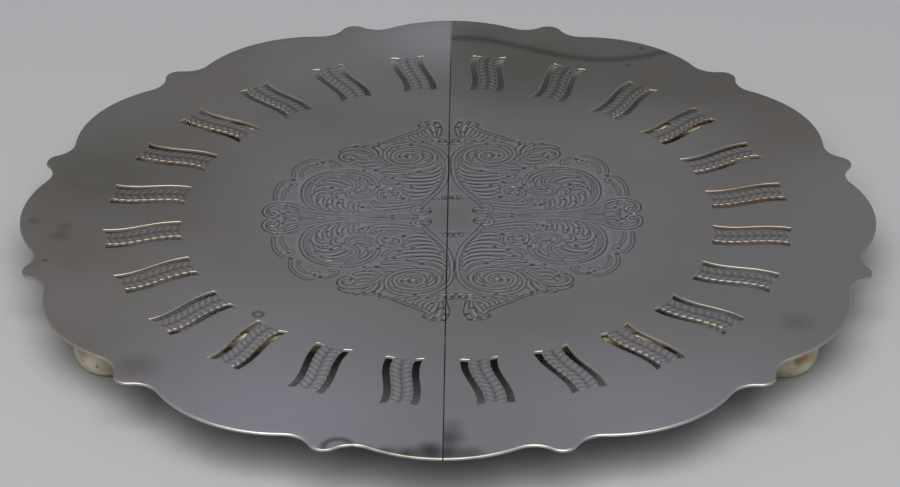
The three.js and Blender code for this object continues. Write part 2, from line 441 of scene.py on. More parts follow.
@dataclass(frozen=True)
class Spot(Mark):
    """Spot as wide as its width, or where it has a radius, a ring of that radius."""

    radius: float = 0.0

    def away(self, add: Callable, place: Socket) -> Socket:
        """Finds how far the surface is from the spot or the ring.

        Args:
            add: Adds a node to the material.
            place: Place on the piece, in millimetres.

        Returns:
            The distance.
        """
        away = add("VectorMath", "Value", {0: place, 1: self.at}, operation="DISTANCE")
        if self.radius:
            away = add("Math", 0, {0: away, 1: self.radius}, operation="SUBTRACT")
            away = add("Math", 0, {0: away}, operation="ABSOLUTE")
        return away


@dataclass(frozen=True)
class PaintedReflectionLine(Mark):
    """Dark curved line at the rear right: a painted reflection in the plate.

    Its place along Y is a sum of powers of its place along X: the plain number comes first in
    its tuple, then the shares of X, of its square and so on.
    """

    def away(self, add: Callable, place: Socket) -> Socket:
        """Finds how far the surface is from the line along Y.

        Args:
            add: Adds a node to the material.
            place: Place on the piece, in millimetres.

        Returns:
            The distance.
        """
        x, y = (add("SeparateXYZ", axis, {0: place}) for axis in "XY")
        away = self.at[-1]
        for part in self.at[-2::-1]:
            away = add("Math", 0, {0: away, 1: x, 2: part}, operation="MULTIPLY_ADD")
        away = add("Math", 0, {0: away, 1: y}, operation="SUBTRACT")
        return add("Math", 0, {0: away}, operation="ABSOLUTE")


# Marks of the silver, stains and painted light: X, Y, width, colour, strength, then the side and
# the ring's radius
SILVER_STAINS_AND_PAINTED_LIGHT = (
    # broad fields, cool at the front and in the middle, brown at the upper left and right: partly
    # tarnish, partly a painted reflection that makes the plate lighter or darker from place to
    # place
    (-42, -104, 80, "dcdae8", 0.85),
    (50, -105, 70, "d5d3df", 0.8),
    (-95, 28, 52, "7c7768", 0.55),
    (-101, -47, 26, "c9c2c2", 0.4),
    (-30, 100, 50, "b9b6b6", 0.6, -1),
    (-2, 110, 34, "d9d7e0", 0.9, -1),
    (66, 78, 78, "615c49", 0.4, 1),
    (20, 90, 40, "74705f", 0.6, 1),
    (45, 122, 30, "8f8e82", 0.75, 1),
    (8, 110, 18, "6e6d60", 0.4, 1),
    (-24, 0, 50, "cdcbda", 0.65),
    (27, 0, 50, "c4c2d3", 0.6),
    (-64, -46, 52, "cbc8c9", 0.45),
    (-86, 42, 32, "aca69c", 0.35),
    (-22, -56, 40, "c4c3c9", 0.35),
    (56, 40, 44, "c2bfc0", 0.5, 1),
    (1, 0, 14, "ababa2", 0.8),
    # painted dark reflection and shade along the rim beside the front end of the joint
    (-3.3, -116, 5.5, "3a3135", 0.7, -1),
    (-2.5, -119, 6, "3a3135", 0.6, -1),
    (-9, -118.4, 5.5, "3a3135", 0.75, -1),
    (-14.5, -117.6, 4.5, "3a3135", 0.75, -1),
    (-19.5, -116.6, 4, "3a3135", 0.5, -1),
    (1, -117.5, 6, "36302d", 0.75, 1),
    (1.5, -111, 6, "36302d", 0.65, 1),
    (2, -105.5, 5, "3a3431", 0.3, 1),
    (7, -118.5, 6, "36302d", 0.55, 1),
    (-26.4, -115.2, 1.7, "332b2c", 0.62, -1, 3.7),
    # single spots and rings
    (-25.6, -116, 4.5, "a89a98", 0.5),
    (-80, -78, 9, "67585c", 0.34),
    (93.4, -56, 7, "857b73", 0.4),
    (-50.1, -52.6, 0.9, "464240", 0.6, 0, 1.3),
    (58.3, 101.1, 1.2, "2a2726", 0.8),
    (53.9, 89.9, 1.2, "2a2726", 0.7),
    (-107.9, -11.7, 4.5, "5a5451", 0.38),
    (-106.8, -6.8, 3.5, "5a5451", 0.32),
    (-116, -3.7, 2.5, "4a4541", 0.38),
    (-110.2, -25.1, 1.3, "3a3533", 0.6),
    (109.1, -15.9, 1.2, "b5b1ae", 0.6),
    (-100, 22, 2.4, "8a8670", 0.2, 0, 9.0),
    (-44, 61, 24, "7e766f", 0.15),
)


@dataclass(frozen=True)
class SilverPlate:
    """Silver electroplate on brass, rolled, polished and long tarnished.

    To the eye: a grey mirror gone soft, with warm and cool patches as broad as a hand, partly
    tarnish and partly a painted reflection, stains, painted dark reflections along the rim at
    the front of the joint and in a curved line at the rear right, hair-fine scratches, oxide in
    every cut and along the joint, cuts whose edges are painted bright, partly rubbed silver and
    partly a painted highlight, and bare brass where the plating is worn off the edges of the
    slots, tinted copper at the sides, partly wear and partly a painted warm reflection. Oxide
    and bare metal are rougher than the silver.
    """

    warm: str = "a79f99"
    cool: str = "b3b0b0"
    # bright silver where patina is below 0: partly rubbed silver, partly a painted highlight
    rubbed_and_painted_highlight: str = "fdf9ff"
    rubbed_and_painted_highlight_share: float = 0.75
    oxide: str = "2a2729"
    oxide_share: float = 0.8
    brass: str = "dcd6c0"
    # copper tint of the bare brass at the sides: partly wear, partly a painted warm reflection on
    # the slot edges
    copper_and_warm_reflection: tuple = (
        Spot((88, 4, 15.5), 35, "b06c40", 1.0),
        Spot((-82, 38, 15.5), 24, "b98a6c", 0.6),
        Spot((75, 50, 15.5), 26, "8a5236", 0.8),
    )
    stains_and_painted_light: tuple = tuple(Spot((x, y, 16.0), *rest) for x, y, *rest in SILVER_STAINS_AND_PAINTED_LIGHT)
    # painted reflection: a dark curved line at the rear right of the plate
    painted_reflection_line: PaintedReflectionLine = PaintedReflectionLine((107.27, 0.2266, -0.03518, 6.603e-4, -3.127e-6), 3.4, "37332e",
                              0.47, 1)
    patch_mm: float = 70.0
    joint_dark_mm: float = 0.22
    scratch_mm: float = 0.9
    scratch_stretch: float = 9.0
    roughness: tuple = (0.28, 0.33)
    oxide_roughness: float = 0.2
    wear_roughness: float = 0.35

    def make(self) -> Material:
        """Builds the material.

        Returns:
            The material.
        """
        material, add, place = start_material("tarnished_silver_plate_and_painted_light", {"Metallic": 1.0})
        _, tone = mottle(add, place, self.patch_mm, (0.36, 0.64), self.warm, self.cool,
                         Roughness=0.55)
        # lays the stains and the painted light: broad fields of painted reflection, the painted
        # dark reflection by the joint, and the painted reflection line
        for mark in (*self.stains_and_painted_light, self.painted_reflection_line):
            tone = mark.lay(add, place, tone)
        bare = self.brass
        # tints the bare brass copper at the sides: partly wear, partly a painted warm reflection
        for spot_mark in self.copper_and_warm_reflection:
            bare = spot_mark.lay(add, place, bare)
        patina, wear = (add("Attribute", "Fac", attribute_name=name) for name in ("patina", "wear"))
        # patina below 0 paints bright silver: partly rubbing, partly a painted highlight on raised
        # relief and on the strips' leaves
        bright, dark = (add("Math", 0, {0: patina, 1: gain}, operation="MULTIPLY", use_clamp=True)
                        for gain in (-self.rubbed_and_painted_highlight_share, self.oxide_share))
        across = add("Math", 0, {0: add("SeparateXYZ", "X", {0: place})}, operation="ABSOLUTE")
        joint = add("MapRange", "Result", {"Value": across, "From Min": self.joint_dark_mm,
                                           "From Max": self.joint_dark_mm / 2})
        for share, above in ((bright, self.rubbed_and_painted_highlight), (dark, self.oxide), (wear, bare),
                             (joint, self.oxide)):
            tone = add("Mix", 2, {0: share, 6: tone, 7: above}, data_type="RGBA")
        stretch = (1.0, self.scratch_stretch, 1.0)
        stretched = add("Mapping", "Vector", {"Vector": place, "Scale": stretch})
        scratch = add("TexNoise", "Fac", {"Vector": stretched, "Detail": 3.0,
                      "Scale": 1 / (self.scratch_mm * self.scratch_stretch)})
        rough = add("MapRange", "Result", {"Value": scratch, "From Min": 0.3, "From Max": 0.7,
                    "To Min": self.roughness[0], "To Max": self.roughness[1]})
        for share, gain in ((dark, self.oxide_roughness), (wear, self.wear_roughness)):
            rough = add("Math", 0, {0: share, 1: gain, 2: rough}, operation="MULTIPLY_ADD")
        bump = add("Bump", "Normal", {"Height": scratch, "Strength": 0.02, "Distance": 0.03 * MM})
        return finish_material(material, {"Base Color": tone, "Roughness": rough, "Normal": bump})


@dataclass(frozen=True)
class TurnedMetal:
    """Drawn or turned metal that has gone dull: fine lines round it and darker patches.

    To the eye: soft streaks of light along the piece, broken by lines as fine as a tool leaves,
    with brown where grease has dried.
    """

    name: str
    bright: str
    dull: str
    roughness: float
    patch_mm: float = 8.333
    line_mm: float = 0.5

    def make(self) -> Material:
        """Builds the material.

        Returns:
            The material.
        """
        material, add, place = start_material(self.name, {"Metallic": 1.0})
        _, tone = mottle(add, place, self.patch_mm, (0.35, 0.65), self.dull, self.bright)
        lines = add("TexNoise", "Fac", {"Vector": place, "Scale": 1 / self.line_mm, "Detail": 2.0})
        rough = add("MapRange", "Result", {"Value": lines, "To Min": self.roughness - 0.06,
                                           "To Max": self.roughness + 0.1})
        bump = add("Bump", "Normal", {"Height": lines, "Strength": 0.25, "Distance": 0.04 * MM})
        return finish_material(material, {"Base Color": tone, "Roughness": rough, "Normal": bump})


@dataclass(frozen=True)
class StainedCasein:
    """Casein plastic, cast as rod, turned and polished, yellowed and stained with age.

    To the eye: cream going to olive, a waxy gloss that lets a little light in, orange-brown
    stains as if from tea, and marks on each front foot where it shows below the rim: spots and
    dots, painted shade at the top of the left one and painted light near the base of the right one.
    """

    cream: str = "ccc7b0"
    olive: str = "a8a285"
    spot_mark: str = "8a5a2a"
    stains_and_painted_light: tuple = (
        # painted shade: the left foot's top darker, under the rim
        Spot((-97.3, -59.0, 9.5), 4.5, "4d4f4a", 0.75),
        Spot((-94.5, -60.8, 6.0), 3.6, "dfc2b2", 0.75),
        Spot((-90.0, -61.5, 4.5), 3.2, "9c9876", 0.5),
        Spot((-92.9, -61.3, 5.4), 0.6, "17120f", 0.9),
        Spot((-92.9, -61.3, 4.6), 0.7, "17120f", 0.95),
        # painted light: the right foot lighter near its base
        Spot((96.5, -60.0, 3.5), 3.6, "d2d0b4", 0.6),
        Spot((95.6, -60.6, 8.6), 3.4, "a06428", 0.9),
        Spot((93.6, -61.2, 6.8), 1.7, "6e5430", 0.8),
        Spot((97.0, -59.5, 7.2), 1.6, "c8904e", 0.7),
    )
    cloud_mm: float = 7.692
    spot_mm: float = 3.846
    roughness: tuple = (0.28, 0.5)

    def make(self) -> Material:
        """Builds the material.

        Returns:
            The material.
        """
        material, add, place = start_material("stained_casein_and_painted_light", {
            "IOR": 1.52, "Subsurface Weight": 0.15, "Subsurface Scale": 2 * MM})
        cloud, tone = mottle(add, place, self.cloud_mm, (0.35, 0.65), self.cream, self.olive)
        spots, tone = mottle(add, place, self.spot_mm, (0.58, 0.7), tone, self.spot_mark, 0.8,
                             Detail=3.0, Distortion=0.6)
        for spot_mark in self.stains_and_painted_light:
            tone = spot_mark.lay(add, place, tone)
        rough = add("MapRange", "Result", {"Value": cloud, "To Min": self.roughness[0],
                                           "To Max": self.roughness[1]})
        bump = add("Bump", "Normal", {"Height": spots, "Strength": 0.2, "Distance": 0.1 * MM})
        return finish_material(material, {"Base Color": tone, "Roughness": rough, "Normal": bump})


@dataclass(frozen=True)
class MattPaper:
    """Matt coated paper on the table.

    To the eye: pale grey, a little cooler far off, with a tooth too fine to see but for its
    softness.
    """

    near_grey: str = "a3a5a5"
    far_grey: str = "a4a5ac"
    far_mm: float = 500.0
    tooth_mm: float = 1.111

    def make(self) -> Material:
        """Builds the material.

        Returns:
            The material.
        """
        material, add, place = start_material("matt_paper", {
            "Roughness": 0.9, "Specular IOR Level": 0.2})
        tooth = add("TexNoise", "Fac", {"Vector": place, "Scale": 1 / self.tooth_mm, "Detail": 2.0})
        away = add("SeparateXYZ", "Y", {0: place})
        cast = add("MapRange", "Result", {"Value": away, "From Min": -self.far_mm,
                                          "From Max": self.far_mm})
        tone = add("Mix", 2, {0: cast, 6: self.near_grey, 7: self.far_grey}, data_type="RGBA")
        bump = add("Bump", "Normal", {"Height": tooth, "Strength": 0.1, "Distance": 0.05 * MM})
        return finish_material(material, {"Base Color": tone, "Normal": bump})


# ------------------------------------------------------------------ engraving


# Places in these tables are distances from the pattern's two axes. A curve is the X and Y
# of a few points on it, in turn.

# Leaves: the width, and the curve from root to tip
LEAVES = (
    # swept off the long stem
    (1.5, 5.9, 12.2, 8, 10.6, 10.6, 10, 13, 10.5),
    (1.7, 4.6, 14.6, 6.8, 12.8, 9.8, 12.1, 12.6, 12.6),
    (1.8, 3.6, 17, 5.8, 15.1, 8.8, 14.4, 12, 14.9, 13.6, 16.4),
    (1.6, 2.9, 19.4, 4.8, 17.3, 7.8, 16.5, 11.2, 17.1),
    (1.7, 2.5, 21.8, 4.3, 19.5, 7.4, 18.6, 10.6, 18.6, 14.6, 18.9),
    (1.7, 2.2, 24.2, 3.9, 21.8, 6.8, 20.7, 10.2, 20.6, 13.6, 21, 16.2, 22.2),
    (1.6, 2.1, 26.6, 3.5, 24.2, 6, 22.9, 9.4, 22.6, 12.8, 23.2),
    (1.6, 2.4, 28.9, 3.6, 26.5, 5.9, 25.2, 8.8, 25.5),
    (1.3, 10.2, 24.8, 13.4, 24.5, 16.8, 24.3, 19.6, 25),
    (1.1, 15.2, 20.6, 17.2, 21.2, 18.6, 22.6),
    (1.1, 15.6, 18.2, 18, 18.8, 19.7, 20.8),
    # nested below the rosette
    (1.2, 8, 9, 11, 7.7, 14.8, 6.8, 18.4, 6.4, 21.2, 6.8, 22.6, 8),
    (1.2, 8.8, 7.2, 12.4, 5.8, 17, 4.9, 20.8, 4.7, 23.2, 5.2),
    (1, 26.6, 3.4, 27, 5.6, 26.6, 8.4),
    (1, 27.8, 3.2, 28.6, 5.6, 28.4, 8.6),
    # lobes in the great volute
    (1.5, 29.2, 3.3, 30.8, 4.8, 31.6, 7, 31.2, 9.8),
    (1.6, 31.8, 3.4, 33.6, 4.8, 34.6, 7.2, 34.2, 10.4),
    (1.6, 34.6, 4.2, 36.4, 5.9, 37.2, 8.4, 36.6, 11.4),
    (1.5, 37.3, 6.6, 38.7, 9.2, 38.7, 12.4, 37, 14.6, 34.2, 14.3),
    (1.6, 38.8, 14.6, 37.2, 17, 34.6, 17.4, 31.6, 15.9),
    (1.6, 38.2, 18.2, 36.2, 19.7, 33.2, 19.5, 30.2, 17.6),
    (1.3, 36.4, 21, 33.2, 21.3, 30.2, 20.2, 28.4, 18.2),
    (1.2, 32.6, 11.2, 33.4, 13, 32.6, 14.4, 30.9, 14.2),
    (1.1, 22.6, 18.2, 23.4, 21.2, 26, 23.4, 29.6, 24.4),
    (1.1, 24, 17.6, 24.4, 20, 25.8, 21.8),
    (1.1, 22.8, 15.4, 24.4, 13.6, 26.8, 13.3),
    (0.9, 24, 16.4, 25.4, 15, 27.2, 14.6),
    # right of the upper volute
    (1.2, 10.4, 27.6, 14, 27.1, 18, 26.4, 21.4, 26.6),
    (1.2, 17.6, 29.6, 20.4, 28.2, 23, 28, 24.6, 28.9),
    (1.3, 19.6, 31.4, 22.2, 30, 25.2, 29.8, 27.4, 30.6),
    (1.3, 21, 33, 23.4, 31.8, 25.8, 31.9, 27, 32.8),
    (1.1, 22.6, 34.4, 24.6, 33.7, 26.4, 34.4),
    (1.4, 20, 34.4, 19.8, 36.8, 20.4, 38.8, 21.8, 40.6),
    (1.4, 20.9, 35.2, 21.8, 37.4, 22.8, 38.8, 24.4, 40.4),
    (1.4, 22.2, 36.4, 23.8, 38.2, 25.4, 39.2, 27.2, 40.2),
    (1.2, 24.8, 38.2, 27.2, 39, 29.6, 39.1, 31.4, 37.8),
    (1, 12.6, 40.1, 15.2, 39.5, 17.2, 37.9),
    (1.1, 5.4, 33, 6, 35.4, 7.6, 36.9),
    (1, 6.4, 31.6, 6.3, 33.6, 7.2, 35.2),
    # shell at the side
    (1.1, 42.6, 0.5, 45, 0.5, 47, 0.9),
    (1.1, 42.8, 1.8, 45.2, 2.1, 47.2, 2.9),
    (1.1, 43, 3.1, 45, 4, 46.8, 5.2),
    (1, 43.4, 4.5, 45.2, 5.6, 46.6, 6.6),
    # crown of the finial
    (1.3, 3.2, 45, 2.7, 48.2, 2.6, 51.4, 3.8, 54.2),
    (1.4, 4, 45.6, 4.2, 48.8, 4.8, 51.8, 6.2, 54.2),
    (1.4, 4.8, 45.8, 5.8, 48.4, 6.8, 50.8, 8.4, 52.6),
    (1.3, 4.8, 43.6, 6.6, 45.2, 8.2, 46.8, 8.6, 48.6),
    (1.2, 6.6, 43, 9, 43.8, 10.6, 45, 11.2, 46.8),
    (1, 10, 42.9, 12.2, 43.4, 13.6, 44.6),
    (1, 13.4, 42.6, 15.2, 42.7, 16.6, 43.4),
)

# Shallow leaves of the border outside the great volute, in the same form
BORDER = (
    (1.6, 28.6, 27.2, 29.6, 28.6, 31, 29.2),
    (1.8, 31.2, 27.2, 32.4, 28.9, 33.8, 29.8),
    (1.9, 34, 26.7, 35.4, 28.9, 36.8, 30.4),
    (2, 36.6, 25.7, 38.2, 28.2, 39.6, 30.2),
    (2, 38.8, 24.1, 40.6, 26.2, 42.2, 27.8),
    (1.9, 40.7, 21.9, 42.6, 23.6, 44.3, 25),
    (1.9, 41.9, 19.2, 43.8, 20.6, 45.8, 21.6),
    (1.9, 42.7, 16.2, 44.8, 17.3, 47.2, 18),
    (1.9, 43, 13, 45.4, 13.9, 48.4, 14.4),
    (1.8, 42.7, 9.9, 45.2, 10.6, 48.6, 10.9),
)

# Curled lobes along the outside of the border, and lines inside them, in the same form
LOBES = (
    (0.9, 49.9, 10.4, 49.8, 14.2, 49, 18, 47.2, 20.5, 45.3, 20, 44.5, 18.3, 45.7, 17.5),
    (0.7, 47.7, 10.2, 47.5, 13.4, 46.5, 16),
    (0.9, 44.9, 22.4, 44.9, 26.2, 43.4, 29.6, 40.9, 32.3, 38.6, 32.5, 37.2, 30.8, 37.7, 29.2, 39,
     29.6),
    (0.7, 42.7, 23.2, 42.6, 26.4, 40.9, 29.2),
    (0.8, 36.3, 31.9, 34.2, 31.7, 32.5, 30.2, 32.4, 28.5, 33.7, 28.4),
)

# Rows of small leaves round a centre: its X and Y, radius, first and last angle, number,
# length, lean, curl, width
COMBS = (
    (17.4, 12.6, 0.8, 0, 288, 5, 1.6, 30, 80, 0.9),
    (11.9, 34.2, 0.9, 20, 308, 5, 1.4, 40, 90, 0.9),
    (1.9, 43, 0.4, 0, 300, 6, 0.9, 20, 30, 0.7),
    (0, 4.6, 5.2, 68, 92, 3, 1.8, 6, 10, 0.8),
)

# Ribbons: width, shares of it at both ends, depth of the middle cut, and the curve
RIBBONS = (
    # stems along the axis
    (0.6, 0.7, 0.8, 0, 10, 0.9, 15, 0.9, 21, 0.5, 27, 0.3, 33, 0.7, 38, 1.8, 43, 3.4),
    (0.5, 0.7, 0.9, 0, 26, -0.9, 31, -0.2, 36, 0.3, 42, 0.8),
    # side finial
    (0.9, 0.6, 1, 0, 27, 1, 33.4, 1.7, 37.6, 3.1, 41.6, 5, 45.2, 7.2, 48.4, 8, 51.2, 7, 52.6, 4.8,
     52.4, 2.2, 50.6, 0.9, 49, 2.2, 49.5, 4, 50.9, 4),
    # great volute, which turns over into a crescent
    (0.7, 0.5, 0.6, 0, 39.2, 21, 40.2, 16.8, 40.3, 12.8, 39.2, 8.8, 36.6, 5.2),
    (1.15, 0.7, 0.5, 0.35, 9.9, 5.9, 12.6, 4.1, 17.4, 2.9, 23.6, 2.2, 29.9, 2, 34.6, 2.7, 38.4, 4.8,
     40.9, 8.2, 42, 12.6, 41.7, 17.2, 40, 21.2, 37, 24.1, 33.2, 25.8, 29.4, 26.1, 25.8, 25.3, 22.9,
     23, 21.2, 19.8, 20.9, 16.2, 22.1, 13.2, 24.4, 11.2, 27, 10.7, 29.1, 11.8, 29.4, 14, 27.8, 15.8,
     26.4, 17.8, 26.9, 20.6, 29.2, 22.4, 32.2, 23.1, 35.4, 22.7, 38.2, 21.2),
    # small hook beside it
    (0.8, 0.5, 0.9, 0, 20.4, 7.6, 22.4, 8.9, 24.4, 8.9, 25.5, 7.4, 25, 5.8, 23.9, 6.2),
    # rosette
    (0.85, 0.6, 0.9, 0, 12.2, 9.6, 15, 8.4, 17.8, 8.5, 20, 10.1, 20.6, 12.7, 19.4, 15.3, 16.8, 16,
     14.6, 14.5, 14.6, 12.1, 16.2, 10.8, 18.2, 11.3, 18.7, 12.9, 17.5, 13.5),
    # hook between the volutes
    (0.95, 0.6, 0.9, 0.25, 17.4, 29.6, 19.6, 31.8, 21.4, 34.4, 24, 36.5, 27, 37.4, 29.8, 37, 31.4,
     35.2, 30.9, 33, 28.9, 32.3, 27.7, 33.8, 28.6, 35.3, 29.9, 34.8),
    # companion of the long stem
    (0.8, 0.5, 0.6, 0, 8.2, 25.3, 5, 26.6, 3.1, 29.4, 2.8, 33.2, 4.2, 36.8, 7.2, 39.3, 11, 40.2,
     14.6, 39.6),
    # long stem and upper volute
    (1.05, 0.7, 0.9, 0.35, 8.5, 5, 7.2, 7.9, 5.3, 11.4, 3.5, 14.5, 2.2, 17.6, 1.3, 21, 0.85, 25,
     0.75, 29, 1, 33, 2.1, 36.3, 3.9, 38.8, 6.4, 40.7, 9.6, 41.7, 13.2, 41.7, 16.6, 40.3, 18.5,
     37.6, 18.7, 34.2, 17.2, 31.1, 14.4, 29.3, 10.6, 28.6, 7, 29.2, 4.7, 31.4, 4.2, 34.2, 5.4, 36.9,
     8.4, 38.6, 12, 38.7, 15.2, 37.3, 16.5, 34.6, 15.7, 32, 13.2, 30.8, 10.3, 31.1, 8.5, 33, 8.8,
     35.4, 10.9, 36.7, 13.3, 35.9, 13.9, 34, 12.6, 32.9),
    # corner curl of the blank field
    (0.8, 0.9, 1, 0, 8.4, 5.2, 10.2, 5.1, 11.1, 3.5, 10.2, 1.9, 7.9, 1.6, 6.5, 2.6, 6.9, 4, 8.3,
     3.8),
    # finial
    (0.85, 0.5, 0.9, 0, 20.4, 42.2, 17.8, 43.3, 14.4, 45.7, 11, 47.9, 8.4, 49.8, 7.2, 51.4),
    (0.8, 0.8, 0.4, 0, 0.6, 41.6, 3.4, 41.9, 6.4, 42.1),
)

# Round beads: X, Y, radius
BEADS = (
    (11.4, 34, 0.7), (26.4, 15.2, 0.6), (17.4, 12.4, 0.6), (29.2, 34.3, 0.5), (8.6, 3.2, 0.5),
    (50.3, 2.6, 0.5), (24.6, 7, 0.5), (1.9, 43, 0.5), (3.3, 50, 0.4), (46, 1.4, 0.4),
    (48.2, 5.6, 0.45), (35.4, 15.9, 0.5),
)

# Deep pits left by the graver: X, Y, radius
PITS = (
    (11, 41.4, 0.5), (2.7, 43.1, 0.4), (1.2, 42.8, 0.35), (12.5, 34.3, 0.4), (14.5, 34.4, 0.5),
    (9, 25.4, 0.55), (21.3, 26.6, 0.6), (24.7, 26.6, 0.4), (16.6, 21.9, 0.45), (15, 18.6, 0.4),
    (11.3, 16.8, 0.4), (13.8, 10.4, 0.6), (18.8, 11.3, 0.4), (19.9, 15.4, 0.45), (25.3, 5.8, 0.55),
    (26.5, 6.6, 0.35), (33.9, 16.9, 0.55), (28.1, 32.7, 0.45), (27.6, 35.3, 0.4), (26.9, 40.9, 0.4),
    (22, 39.8, 0.45), (20.5, 41, 0.45), (6.2, 2.6, 0.4), (3.6, 19.3, 0.4), (31.9, 8.4, 0.45),
    (35, 7.4, 0.45), (16.8, 0.8, 0.4), (47.4, 2.4, 0.4), (48.8, 1.6, 0.4), (46, 3.8, 0.35),
    (3.5, 54.4, 0.5), (6, 53.2, 0.45), (2.8, 51.6, 0.5), (6.4, 45.9, 0.4), (7.6, 43, 0.4),
    (4.4, 48.6, 0.4), (21, 17, 0.4), (44.9, 21.6, 0.45), (36.7, 31.4, 0.45), (45.4, 18.6, 0.35),
    (38.2, 30.4, 0.35),
)

# Curve round the ground below the border
BORDER_FIELD = (
    26, 26, 28.6, 28.6, 32.2, 30.8, 35.6, 31.8, 38.8, 32.8, 41.2, 32.2, 43.6, 29.4, 44.9, 26, 45.4,
    21.6, 47.6, 20.4, 49.2, 17.4, 50, 13.6, 49.9, 9.6, 46, 7.8, 42, 8, 40, 20, 34, 25,
)

# Curve round the ground below the scrolls
SCROLL_FIELD = (
    -2.1, 43.9, 1.6, 44.4, 2.2, 46.5, 1.7, 50.5, 2.4, 54.2, 4.6, 55.4, 7.4, 55, 9.2, 53.4, 9.4,
    50.6, 12, 48.4, 16, 45.8, 19, 43.2, 22.4, 42, 27.6, 41.2, 30.4, 39.8, 32.4, 36.8, 32.2, 33.2,
    30, 30.6, 28.2, 27.6, 32.8, 26.8, 37.2, 25.2, 40.6, 22.2, 42.2, 18.8, 42.8, 14, 42.4, 9.4, 46,
    8.8, 49.6, 9.2, 51.4, 7.4, 53.2, 5, 53.1, 2.4, 51.4, 0.9, 50.6, -0.2, 50.4, -2.1, 10.2, -2.1,
    11.4, 2, 10.8, 5.4, 8.4, 6.2, 6, 9, 2.5, 9.2, -2.1, 9.2,
)


def flow(points: list, count: int) -> Array:
    """Smooth curve through a few points, in even steps of length.

    Between two points it is the cubic that leaves each along the line through its neighbours.

    Args:
        points: X and Y of each point in turn.
        count: Number of steps.

    Returns:
        Rows of two lengths.
    """
    p = np.reshape(points, (-1, 2)).astype(float)
    ends = np.vstack([2 * p[0] - p[1], p, 2 * p[-1] - p[-2]])
    t = np.linspace(0, len(p) - 1 - TINY, FLOW_STEPS * len(p))
    i = t.astype(int)
    f = (t - i)[:, None]
    a, b, c, d = (ends[i + k] for k in range(4))
    q = 0.5 * (2 * b + (c - a) * f + (2 * a - 5 * b + 4 * c - d) * f ** 2
               + (3 * b - a - 3 * c + d) * f ** 3)
    way = np.r_[0, np.cumsum(np.hypot(*np.diff(q, axis=0).T))]
    at = np.linspace(0, way[-1], count)
    return np.column_stack([np.interp(at, way, q[:, 0]), np.interp(at, way, q[:, 1])])


@dataclass(frozen=True)
class Stroke:
    """How a ribbon of the ornament is cut.

    It has the shares of the width at its start and its end, how much it swells in the middle,
    the depth of the cut along its middle, the width of the cuts along its edges, the levels of
    its crown and of the ground that it rises from, and the depth of the cuts below the ground.
    """

    ends: tuple = (1.0, 1.0)
    belly: float = 0.0
    vein: float = 0.0
    cut: float = 0.42
    crown: float = -0.05
    ground: float = -0.4
    cut_depth: float = 0.6


